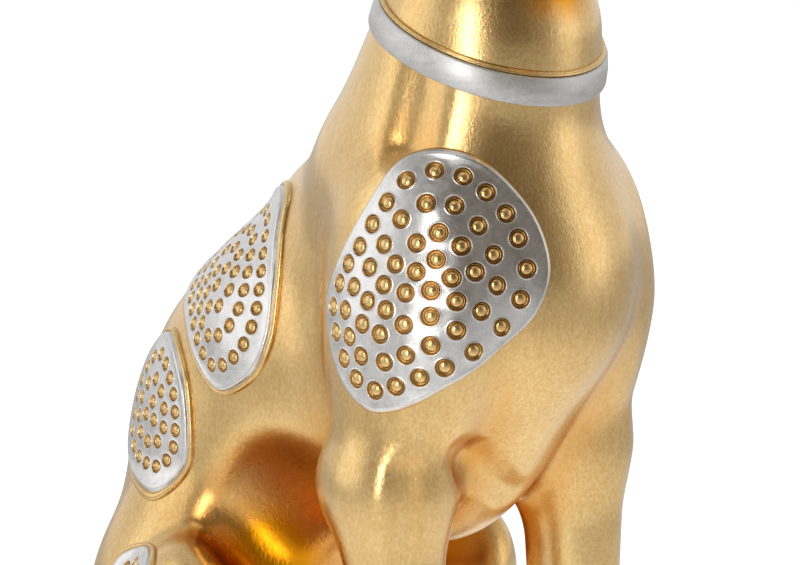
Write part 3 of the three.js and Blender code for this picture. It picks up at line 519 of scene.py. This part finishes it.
def body_shape(p):
    reach = np.maximum(body_forms(p), above_collar(p) + JOINT_GAP)
    plug = np.maximum(np.hypot(p[0] - PLUG[0], p[1] - PLUG[1]) - PLUG_RADIUS, p[2] - PLUG_TOP)
    return np.maximum(np.maximum(reach, SOLE - p[2]), -plug)


def head_shape(p):
    return np.maximum(head_forms(p), JOINT_GAP - above_collar(p))


# Middles of the flanks' hollows, where painted shade turns the gold deep orange, standing for gold mirrored in
# gold, and how far that spreads
HOLLOWS = [[-36, -77, 114], [36, -65, 114]]
HOLLOW_REACH = 30


def casting(name, node, shape, smooth, low, high, step):
    """A gilded casting with painted shade in its crevices. Smooth is its shape before it is cut, which its
    crevices are measured on.
    """
    points, faces = skin(shape, low, high, step)
    points, normals = settle(shape, points)
    # Painted shade, deepest in the folds and in the flanks' hollows.
    painted_fold_shade = painted_crevice_shade(smooth, points, normals)
    for hollow in HOLLOWS:
        away = np.linalg.norm(points - np.array(hollow, float)[:, None], axis=0)
        painted_fold_shade = np.maximum(painted_fold_shade, 0.8 * np.exp(-((away / HOLLOW_REACH) ** 2)))
    thing = add_mesh(name, points, faces, [gold], {"painted_crevice_shade": painted_fold_shade})
    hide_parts(node)


body_step = 1.6
head_step = 1.0
casting("body_skin", "body_casting", body_shape, body_forms, (-92, -208, -4), (92, 76, 330), body_step)
casting("head_skin", "head_casting", head_shape, head_forms, (-50, -56, 284), (50, 112, 420), head_step)


def ear_forms(side):
    return melt([
        ball([27.5 * side, -1, 387], [5, 13, 10], nod=10, lean=-34 * side),
        ball([33 * side, 0, 369], [5, 17, 22], nod=10, lean=-8 * side, blend=10),
        ball([33.5 * side, 7, 351.5], [4.2, 10, 18], nod=18, blend=10),
    ])


for side, name in ((-1, "right_ear"), (1, "left_ear")):
    ear = ear_forms(side)
    low, high = sorted((side * 17.0, side * 50.0))
    casting(name + "_skin", name, ear, ear, (low, -26, 324), (high, 30, 408), head_step)

TAIL_KNOTS = [
    [0, -156, 40], [6, -176, 22], [26, -189, 12.5], [52, -188, 10.5], [74, -172, 9], [82, -150, 7.5],
]
TAIL_LINKS = 27
TAIL_RADIUS = 10.5
tail_route = spaced(TAIL_KNOTS, TAIL_LINKS, False)
tail_radius = [TAIL_RADIUS * (1.15 - 0.65 * i / TAIL_LINKS) for i in range(TAIL_LINKS + 1)]
tail_forms = melt([
    limb(tail_route[i], tail_radius[i], tail_route[i + 1], tail_radius[i + 1], blend=3)
    for i in range(TAIL_LINKS)
])


def tail_shape(p):
    return np.maximum(tail_forms(p), SOLE - p[2])


casting("tail_skin", "tail", tail_shape, tail_forms, (-20, -208, -4), (98, -134, 60), head_step * 1.2)


# Collar

COLLAR_TURNS = 160
# The band's corners and the piping's double lip, as heights along the neck and lifts off its surface
BAND = [[-5, 0.0], [-5, 2.0], [0, 2.35], [5, 2.0], [5, 0.0]]
PIPING = [
    (5.25, -0.4), (5.2, 0.9), (5.32, 1.3), (5.6, 1.45), (5.86, 1.3), (5.97, 1.0), (6.1, 1.2), (6.35, 1.3),
    (6.58, 1.1), (6.66, 0.7), (6.7, -0.4),
]


def neck_ring(name, node, section, material):
    """A ring round the neck with a closed section."""
    angles = np.linspace(0, 2 * math.pi, COLLAR_TURNS, endpoint=False)
    outward = np.outer(COLLAR_LEFT, np.cos(angles)) + np.outer(COLLAR_FRONT, np.sin(angles))
    rows = []
    for height, lift in section:
        start = np.repeat((COLLAR_MIDDLE + COLLAR_UP * height)[:, None], COLLAR_TURNS, 1)
        rows.append(cast_out(dog_shape, start, outward, lift))
    count = len(section)
    points = np.stack(rows, axis=2).reshape(3, -1)
    faces = []
    for i in range(COLLAR_TURNS):
        for j in range(count):
            here, there, k = i * count, (i + 1) % COLLAR_TURNS * count, (j + 1) % count
            faces.append([here + j, there + j, there + k, here + k])
    # An even, faint painted shade, too light to darken the gold.
    thing = add_mesh(name, points, faces, [material], {"painted_crevice_shade": np.full(points.shape[1], 0.05)})
    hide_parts(node)


def rounded(corners, soft, steps=3):
    """A closed section with each corner softened."""
    corners = np.array(corners, float)
    made = []
    for i, corner in enumerate(corners):
        ends = []
        for other in (corners[i - 1], corners[(i + 1) % len(corners)]):
            ends.append(corner + (other - corner) / np.linalg.norm(other - corner) * soft)
        for t in np.linspace(0, 1, steps):
            made.append((1 - t) ** 2 * ends[0] + 2 * t * (1 - t) * corner + t**2 * ends[1])
    return made


neck_ring("collar_band_skin", "collar_band", rounded(BAND, 0.6), band_silver)
neck_ring("collar_piping_skin", "collar_piping", PIPING, gold)


# Plates with dimples and beads

CUP_SIDES = 24
CUP_RADIUS = 4.1
BEAD_TOP = 0.27
RIM_INSIDE = 1.5
# Rim from outside to inside: distance out from the outline, height in rises, gold, and how much painted shade
# it gets for being shut in
LOW_RIM = [
    (1.2, -0.5, 1, 0.3), (1.0, 0.25, 1, 0.2), (0.6, 0.65, 1, 0.1), (0.3, 0.78, 0, 0.1), (0.05, 1.05, 0, 0),
    (-0.35, 1.14, 0, 0), (-0.8, 1.1, 0, 0), (-RIM_INSIDE, 1.0, 0, 0),
]
# A high rim stands on a gilded step, with a fine groove between the step and the silver.
HIGH_RIM = [
    (2.3, -0.4, 1, 0.3), (2.2, 0.25, 1, 0.1), (1.85, 0.6, 1, 0), (1.35, 0.76, 1, 0), (0.9, 0.7, 1, 0.15),
    (0.6, 0.5, 1, 0.9), (0.42, 0.62, 0, 0.7), (0.25, 0.98, 0, 0.1), (-0.15, 1.12, 0, 0), (-0.7, 1.1, 0, 0),
    (-RIM_INSIDE, 1.0, 0, 0),
]
# Dimple from outside to inside: radius, height off the plate's face, gold, and how much painted shade it gets
# for being shut in
CUP = [
    (CUP_RADIUS, 0, 0, 0), (3.98, 0.01, 0, 0), (3.8, 0.1, 0, 0), (3.64, 0.12, 0, 0), (3.52, 0.0, 0, 0.1),
    (3.42, -0.3, 1, 0.4), (3.24, -0.75, 1, 0.6), (2.96, -1.05, 1, 0.75), (2.62, -1.16, 1, 0.8),
    (2.4, -1.02, 1, 0.6), (2.3, -0.72, 1, 0.3), (2.1, -0.42, 1, 0.1), (1.7, -0.12, 1, 0), (1.2, 0.1, 1, 0),
    (0.6, 0.22, 1, 0),
]
# For dimples of size 1: how far apart they are nudged and how clear of the rim, and the least of both
AIMED_APART, AIMED_CLEAR = 8.5, 0.5
LEAST_APART, LEAST_CLEAR = 8.25, 0.15

# Wide plates have a low rim; close ones have smaller dimples, closer together, and a high rim.
WIDE = dict(rise=1.4, size=1.0, pitch=9.6, margin=6.8, rim=LOW_RIM)
CLOSE = dict(rise=2.0, size=0.8, pitch=7.2, margin=5.6, rim=HIGH_RIM)
# Middles of the shoulder plate's dimples in the photograph, in four rounds from the rim inwards
SHOULDER_DIMPLES = [
    (433.8, 168.2), (462.8, 174), (486.2, 190), (506.4, 211.8), (519, 237.2), (527.8, 268.2), (521.2, 299.2),
    (502.6, 329.2), (472.6, 353), (444.4, 370), (418.6, 379.4), (393.8, 388.6), (374, 396.6), (354.4, 384.2),
    (338.8, 364.2), (331.2, 337), (329.8, 307.2), (336.2, 280.4), (346.2, 264.2), (358.6, 246),
    (371.6, 222.6), (386.2, 200.4), (405.4, 178),
    (425.4, 201.6), (453.8, 204), (477.6, 224.6), (493.6, 253.8), (496.8, 285.4), (480.6, 311.8),
    (455.6, 331.4), (429.8, 346.8), (404.8, 356.4), (383.4, 363.4), (359.8, 359.4), (346, 340.2),
    (342.6, 310.4), (352.8, 287.2), (368.8, 267), (383.4, 243.4), (400.4, 217.6),
    (438, 231.4), (460.6, 245.2), (471.6, 272.4), (455.4, 300.2), (429.2, 317.2), (402.2, 325.2),
    (378, 334.8), (358.8, 328.6), (366.8, 304.4), (382.8, 285), (397.2, 264.6), (415.8, 242),
    (435.4, 260.8), (450, 277.6), (429.6, 289), (404.6, 293.2), (385.2, 311.4), (415, 271),
]
# Name, kind, the chart's heart inside the dog, its direction out and its reach, and the plate's outline
PLATES = [
    ("right_shoulder_plate", WIDE, [-17.8, 3.7, 229.9], [-0.823, 0.537, 0.185], 45,
     [[4.4, 40.5], [-15.1, 37.6], [-31.4, 25.6], [-39.9, 4.6], [-34.5, -14.9], [-19.8, -27.8], [-3.3, -34.5],
      [12.1, -39.6], [23.7, -39.8], [38.1, -32], [49.2, -12.9], [41.2, 8.4], [25.9, 26.1], [14.8, 37.5]],
     SHOULDER_DIMPLES),
    ("right_rib_plate", CLOSE, [7.5, -89, 191.7], [-0.85, -0.299, 0.434], 45,
     [[-14.6, 29], [-20.6, 20.5], [-28.1, 6.5], [-31.8, -9], [-27.6, -21.9], [-14.3, -30.3], [-4, -25.6],
      [9.3, -15.2], [21, -7], [28.5, 7], [27, 22], [10, 32], [-5, 33]]),
    ("right_haunch_plate", CLOSE, [-3.1, -117.2, 153.9], [-0.937, -0.307, 0.164], 42,
     [[3, 27], [-5.8, 23.6], [-16.2, 14], [-21.4, -0.9], [-20, -14.3], [-10.7, -22], [1, -21.6], [12, -18.5],
      [20, -9], [22, 6], [14, 21]]),
    ("right_thigh_plate", CLOSE, [-44, -110, 88], [-0.9, -0.2, 0.4], 32,
     [[0, 17], [-11, 12], [-15, 0], [-13, -13], [-3, -20], [9, -17], [15, -4], [12, 10]]),
    ("rump_plate", WIDE, [0, -125, 92], [-0.28, -0.95, 0.05], 45,
     [[0, 21], [-14, 17], [-20, 4], [-17, -12], [-5, -22], [10, -21], [19, -8], [17, 9]]),
    ("left_shoulder_plate", WIDE, [17.8, -12, 222], [0.95, -0.05, 0.2], 45,
     [[0, 36], [-18, 32], [-30, 17], [-34, -3], [-25, -23], [-7, -34], [14, -32], [30, -18], [35, 3],
      [27, 22], [13, 33]]),
    ("left_haunch_plate", WIDE, [3, -115, 142], [0.93, -0.3, 0.2], 44,
     [[0, 27], [-17, 23], [-26, 8], [-25, -10], [-13, -24], [4, -28], [20, -19], [27, -2], [21, 17]]),
]


class Chart:
    """A flat chart bent over the dog. Distance from its middle stands for the angle off its direction."""

    def __init__(self, heart, facing, reach):
        self.heart = np.array(heart, float)[:, None]
        self.reach = reach
        self.normal = np.array(facing, float)
        self.normal /= np.linalg.norm(self.normal)
        self.up = np.array([0, 0, 1]) - self.normal * self.normal[2]
        self.up /= np.linalg.norm(self.up)
        self.across = np.cross(self.up, self.normal)

    def surface(self, flat, lift):
        """Points on the dog's surface, at a lift, for flat places."""
        far = np.linalg.norm(flat, axis=1)
        angle = far / self.reach
        sideways = np.outer(self.across, flat[:, 0]) + np.outer(self.up, flat[:, 1])
        along = self.normal[:, None] * np.cos(angle) + sideways / np.maximum(far, 1e-9) * np.sin(angle)
        return cast_out(dog_shape, np.repeat(self.heart, len(flat), 1), along, lift)

    def flat(self, points):
        """Flat places of points."""
        away = points - self.heart
        angle = np.arccos(self.normal @ away / np.linalg.norm(away, axis=0))
        sideways = np.stack([self.across @ away, self.up @ away], axis=1)
        return sideways / np.linalg.norm(sideways, axis=1)[:, None] * (angle * self.reach)[:, None]

    def square_steps(self, flat, lift, span=0.5):
        """At each flat place, the flat step for each of two square steps on the surface."""
        here = self.surface(flat, lift)
        east = (self.surface(flat + [span, 0], lift) - here) / span
        north = (self.surface(flat + [0, span], lift) - here) / span
        stretch = np.linalg.norm(east, axis=0)
        slip = (north * east / stretch).sum(0)
        climb = np.sqrt((north * north).sum(0) - slip**2)
        steps = np.zeros((len(flat), 2, 2))
        steps[:, 0, 0] = 1 / stretch
        steps[:, 0, 1] = -slip / climb / stretch
        steps[:, 1, 1] = 1 / climb
        return steps


class Net:
    """Flat places with heights and painted shade, and silver (0) or gold (1) faces between them."""

    def __init__(self):
        self.flats, self.heights, self.shades, self.faces, self.picks = [], [], [], [], []

    def put(self, flat, height, shade):
        """Adds places at one height and one amount of painted shade, and gives their numbers."""
        first = sum(len(f) for f in self.flats)
        self.flats.append(flat)
        self.heights.append(np.full(len(flat), float(height)))
        self.shades.append(np.full(len(flat), float(shade)))
        return np.arange(first, first + len(flat))

    def face(self, corners, pick):
        self.faces.append(corners)
        self.picks.append(pick)

    def join(self, rings, rows):
        """Faces between rings that follow each other, each of the inner ring's metal."""
        for outer, inner, (_, _, pick, _) in zip(rings, rings[1:], rows[1:]):
            for i in range(len(outer)):
                k = (i + 1) % len(outer)
                self.face([outer[i], outer[k], inner[k], inner[i]], pick)


def inside_outline(points, outline):
    x, y = points[:, 0], points[:, 1]
    hit = np.zeros(len(points), bool)
    for a, b in zip(outline, np.roll(outline, -1, axis=0)):
        if a[1] != b[1]:
            crosses = (a[1] > y) != (b[1] > y)
            hit ^= crosses & (x < (b[0] - a[0]) * (y - a[1]) / (b[1] - a[1]) + a[0])
    return hit


def outward_of(outline):
    """The direction out of a closed outline at each of its points."""
    tangent = np.roll(outline, -1, axis=0) - np.roll(outline, 1, axis=0)
    tangent /= np.linalg.norm(tangent, axis=1)[:, None]
    outward = np.stack([tangent[:, 1], -tangent[:, 0]], axis=1)
    return outward if ((outline - outline.mean(0)) * outward).sum() > 0 else -outward


def along_surface(squares, dimples, places):
    """From each dimple to each place, in steps along the surface."""
    return np.einsum("nij,mnj->nmi", squares, places[:, None] - dimples[None])


def dimple_rows(chart, kind, outline):
    """Flat places of dimples in rounds that follow the outline inwards, at an even pitch on the surface."""
    pitch, inset = kind["pitch"], kind["margin"]
    middle = outline.mean(0)
    mean_reach = np.linalg.norm(outline - middle, axis=1).mean()
    dimples = []
    while inset < mean_reach - pitch * 0.3:
        ring = (outline - middle) * (1 - inset / mean_reach) + middle
        raised = chart.surface(ring, 2.0).T
        lengths = np.linalg.norm(raised - np.roll(raised, -1, axis=0), axis=1)
        if lengths.sum() < 2.6 * pitch:
            dimples.append(middle)
            break
        count = round(lengths.sum() / pitch)
        walked = np.concatenate([[0], np.cumsum(lengths)])
        start = lengths.sum() / count * (0.5 if len(dimples) % 2 else 0.1)
        marks = start + np.arange(count) * lengths.sum() / count
        closed = np.concatenate([ring, ring[:1]])
        dimples += [[np.interp(m, walked, closed[:, k]) for k in (0, 1)] for m in marks]
        inset += pitch
    return np.array(dimples)


def nudged(chart, kind, dimples, inner):
    """Dimples nudged off each other and the rim, less those still too close, and their square steps."""
    rise, size = kind["rise"], kind["size"]
    for _ in range(14):
        steps = chart.square_steps(dimples, rise)
        squares = np.linalg.inv(steps)
        between = along_surface(squares, dimples, dimples)
        gaps = np.linalg.norm(between, axis=2) + 1000 * np.eye(len(dimples))
        push = np.clip(AIMED_APART * size - gaps, 0, 2)[..., None] * between / gaps[..., None] * 0.5
        move = -push.sum(1)
        edge = along_surface(squares, dimples, inner)
        gaps = np.linalg.norm(edge, axis=2)
        towards = edge[np.arange(len(dimples)), gaps.argmin(1)] / gaps.min(1)[:, None]
        move -= towards * np.clip(CUP_RADIUS * size + AIMED_CLEAR - gaps.min(1), 0, 2)[:, None]
        if np.abs(move).max() < 0.04:
            break
        dimples = dimples + np.einsum("nij,nj->ni", steps, move)
    steps = chart.square_steps(dimples, rise)
    squares = np.linalg.inv(steps)
    apart = np.linalg.norm(along_surface(squares, dimples, dimples), axis=2)
    clear = np.linalg.norm(along_surface(squares, dimples, inner), axis=2).min(1)
    kept = []
    for i in np.where(clear > CUP_RADIUS * size + LEAST_CLEAR)[0]:
        if all(min(apart[i, k], apart[k, i]) > LEAST_APART * size for k in kept):
            kept.append(i)
    return dimples[kept], steps[kept]


def face_places(outline, dimples, squares, size, half=66):
    """A grid of flat places that fills a plate's face between its rim and its dimples."""
    spread = 1.9
    rows = np.arange(-half, half, spread * 0.87)
    columns = np.arange(-half, half, spread)
    grid = np.array([[s + (j % 2) * spread / 2, t] for j, t in enumerate(rows) for s in columns])
    grid = grid[inside_outline(grid, outline)]
    gap = np.linalg.norm(grid[:, None] - outline[None], axis=2).min(1)
    grid = grid[gap > RIM_INSIDE + spread * 0.45]
    gap = np.linalg.norm(along_surface(squares, dimples, grid), axis=2).min(0)
    return grid[gap > CUP_RADIUS * size + spread * 0.4]


def face_triangles(flat, loops, filled, dimples, squares, size):
    """Triangles between the rim's inner loop, the dimples' loops and the places that fill the face."""
    used = np.concatenate([*loops, filled])
    edges = []
    start = 0
    for loop in loops:
        edges += [(start + i, start + (i + 1) % len(loop)) for i in range(len(loop))]
        start += len(loop)
    places = [Vector(p) for p in flat[used]]
    spots, _, triangles, came_from, _, _ = delaunay_2d_cdt(places, edges, [], 0, 1e-6, True)
    centres = np.array([[sum(spots[i][k] for i in t) / 3 for k in (0, 1)] for t in triangles])
    keep = inside_outline(centres, flat[loops[0]])
    gap = np.linalg.norm(along_surface(squares, dimples, centres), axis=2).min(0)
    keep &= gap > CUP_RADIUS * size * math.cos(math.pi / CUP_SIDES) * 0.995
    return [[used[came_from[i][0]] for i in t] for t, kept in zip(triangles, keep) if kept]


def plate(name, kind, heart, facing, reach, corners, seen=()):
    """A raised plate with a rim and beaded dimples. Seen gives the dimples' places in the photograph."""
    rise, size, rim = kind["rise"], kind["size"], kind["rim"]
    chart = Chart(heart, facing, reach)
    coarse = spaced(corners, None, True)
    outline = spaced(corners, len(coarse) * (5), True)
    outward = outward_of(outline)
    dimples = chart.flat(in_photo(seen, rise)) if seen else dimple_rows(chart, kind, coarse)
    dimples, steps = nudged(chart, kind, dimples, outline - outward * RIM_INSIDE)
    squares = np.linalg.inv(steps)

    net = Net()
    rings = [net.put(outline + outward * away, height * rise, shade) for away, height, _, shade in rim]
    net.join(rings, rim)
    angles = np.linspace(0, 2 * math.pi, CUP_SIDES, endpoint=False)
    circle = np.stack([np.cos(angles), np.sin(angles)])
    loops = [rings[-1]]
    for flat, step in zip(dimples, steps):
        cup = [net.put(flat + (step @ circle * r * size).T, rise + h * size, shade) for r, h, _, shade in CUP]
        net.join(cup, CUP)
        top = net.put(flat[None], rise + BEAD_TOP * size, 0)[0]
        for i in range(CUP_SIDES):
            net.face([cup[-1][i], cup[-1][(i + 1) % CUP_SIDES], top], 1)
        loops.append(cup[0])
    filled = net.put(face_places(outline, dimples, squares, size), rise, 0)
    flat = np.concatenate(net.flats)
    for triangle in face_triangles(flat, loops, filled, dimples, squares, size):
        net.face(triangle, 0)

    base = chart.surface(flat, 0)
    slope = slope_at(dog_shape, base)
    normals = slope / np.linalg.norm(slope, axis=0)
    points = base + normals * np.concatenate(net.heights)
    # The change to metres mirrors the dog, so the faces that turn outwards here are the ones to reverse.
    corner = np.array([face[:3] for face in net.faces])
    a, b, c = (points[:, corner[:, k]] for k in range(3))
    out = (np.cross((b - a).T, (c - a).T) * normals[:, corner[:, 0]].T).sum(1) > 0
    faces = [face[::-1] if outwards else face for face, outwards in zip(net.faces, out)]
    # The painted shade that browns the gold in the cups and in the rims' grooves.
    shades = {"cup": np.concatenate(net.shades)}
    thing = add_mesh(name + "_skin", points, faces, [silver, gold], shades, net.picks)
    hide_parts(name)


for row in PLATES:
    plate(*row)


# Felt pads and the closing plug

PAD_TURNS = 72


def pad(name, x, f, radius):
    """A felt round with softened edges."""
    profile = [
        (0, 1.7), (radius - 0.6, 1.7), (radius - 0.2, 1.6), (radius, 1.3), (radius, 0.3), (radius - 0.2, 0.05),
        (radius - 0.6, 0), (0, 0),
    ]
    angles = np.linspace(0, 2 * math.pi, PAD_TURNS, endpoint=False)
    points = [[x, f, profile[0][1]]]
    for r, z in profile[1:-1]:
        points += [[x + r * math.cos(a), f + r * math.sin(a), z] for a in angles]
    points.append([x, f, 0])
    last = len(points) - 1
    faces = []
    for i in range(PAD_TURNS):
        k = (i + 1) % PAD_TURNS
        faces.append([0, 1 + k, 1 + i])
        faces.append([last, last - PAD_TURNS + i, last - PAD_TURNS + k])
        for j in range(len(profile) - 3):
            here = 1 + j * PAD_TURNS
            below = here + PAD_TURNS
            faces.append([here + i, here + k, below + k, below + i])
    thing = add_mesh(name + "_skin", np.array(points).T, faces, [felt])
    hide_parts(name)


pad("right_fore_pad", -46.5, 18, 9)
pad("left_fore_pad", 46.5, 18, 9)
pad("right_hind_pad", -63, -68, 9)
pad("left_hind_pad", 63, -56, 9)
pad("rump_pad", *PLUG, 27)

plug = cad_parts["base_plug"]
plug.data.materials.clear()
plug.data.materials.append(resin)


# Floor, lights and camera


def stage_material(name):
    """Plain pale floor that the camera sees as white, and the metal as pale, under the dog's own shadow."""
    material = bpy.data.materials.new(name)
    n = Nodes(material)
    light_path = n.add("LightPath", None)
    mirrored = n.math("MAXIMUM", light_path.outputs[3], light_path.outputs[6])
    away = n.add("VectorMath", 1, dict(operation="LENGTH"), i0=n.add("NewGeometry", 0))
    fading = n.ramp(away, [(0.14, (1, 1, 1)), (0.55, (0.15, 0.15, 0.15))])
    mirrored = n.math("MULTIPLY", mirrored, fading)
    seen = n.math("MULTIPLY", light_path.outputs[0], 0.75)
    glow = n.math("ADD", seen, n.math("MULTIPLY", mirrored, 0.75))
    diffuse = n.add("BsdfDiffuse", 0, None, Color=(0.66, 0.66, 0.66, 1))
    n.surface(n.add("AddShader", 0, None, i0=diffuse, i1=n.add("Emission", 0, None, Strength=glow)))
    return material


floor_mesh = bpy.data.meshes.new("floor")
floor_mesh.from_pydata([(-3, -3, 0), (3, -3, 0), (3, 3, 0), (-3, 3, 0)], [], [(0, 1, 2, 3)])
floor = bpy.data.objects.new("floor", floor_mesh)
bpy.context.scene.collection.objects.link(floor)
floor_mesh.materials.append(stage_material("floor_white"))

# The room round the dog, from behind it over the left, the camera's side and the right to behind it again
ROOM = [
    (0.0, (0.95, 0.95, 0.96)), (0.22, (0.95, 0.95, 0.96)), (0.32, (0.66, 0.65, 0.64)),
    (0.41, (0.42, 0.4, 0.38)), (0.48, (0.26, 0.23, 0.2)), (0.56, (0.17, 0.14, 0.11)),
    (0.64, (0.3, 0.27, 0.24)), (0.73, (0.85, 0.84, 0.83)), (1.0, (0.95, 0.95, 0.96)),
]
TOWARDS_CAMERA = (-0.7071, -0.7071, 0)


def studio_world():
    """A world that is white to the camera, and to the metal a room that is darker on the camera's side."""
    world = bpy.data.worlds.new("studio")
    n = Nodes(world)
    light_path = n.add("LightPath", None)
    direction = n.add("TexCoord", 0)
    rightward = n.add("VectorMath", 1, dict(operation="DOT_PRODUCT"), i0=direction, i1=tuple(RIGHT))
    towards = n.add("VectorMath", 1, dict(operation="DOT_PRODUCT"), i0=direction, i1=TOWARDS_CAMERA)
    turn = n.math("MULTIPLY_ADD", n.math("ARCTAN2", rightward, towards), 0.5 / math.pi, 0.5)
    height = n.add("SeparateXYZ", 2, None, i0=direction)
    darkening = n.ramp(height, [(0.2, (1, 1, 1)), (0.9, (0.7, 0.7, 0.7))])
    room = n.mix(1.0, n.ramp(turn, ROOM), darkening, "MULTIPLY")
    lit = n.mix(light_path.outputs[0], room, (1, 1, 1, 1))
    background = n.add("Background", 0, None, Color=lit, Strength=1.0)
    n.add("OutputWorld", None, Surface=background)
    return world


bpy.context.scene.world = studio_world()

LAMP_DISTANCE = 1.2


def softbox(name, turn, rise, size, power):
    """A lamp aimed at the dog; turn is in degrees to the right of the camera."""
    angle = math.radians(turn)
    place = AIM + (RIGHT * math.sin(angle) + BACK * math.cos(angle)) * LAMP_DISTANCE + UP * rise
    light = bpy.data.lights.new(name, "AREA")
    light.shape = "RECTANGLE"
    light.size, light.size_y = size
    light.energy = power
    lamp = bpy.data.objects.new(name, light)
    bpy.context.scene.collection.objects.link(lamp)
    lamp.location = place
    lamp.rotation_euler = (AIM - place).to_track_quat("-Z", "Y").to_euler()


softbox("key", -20, -0.05, (0.25, 1.1), 6)
softbox("left", -80, 0.3, (0.9, 1.2), 2)
softbox("right", 84, 0.1, (0.6, 1.3), 1.4)
softbox("top", 0, 2.2, (1.2, 0.9), 4)

SENSOR = 36
camera = bpy.data.objects.new("camera", bpy.data.cameras.new("camera"))
bpy.context.scene.collection.objects.link(camera)
camera.location = AIM + BACK * CAMERA_DISTANCE
camera.rotation_euler = (-BACK).to_track_quat("-Z", "Y").to_euler()
camera.data.sensor_width = SENSOR
camera.data.lens = SENSOR * CAMERA_DISTANCE / (PIXEL * PHOTO_WIDTH / 1000)
bpy.context.scene.camera = camera
bpy.context.scene.view_settings.view_transform = "Standard"
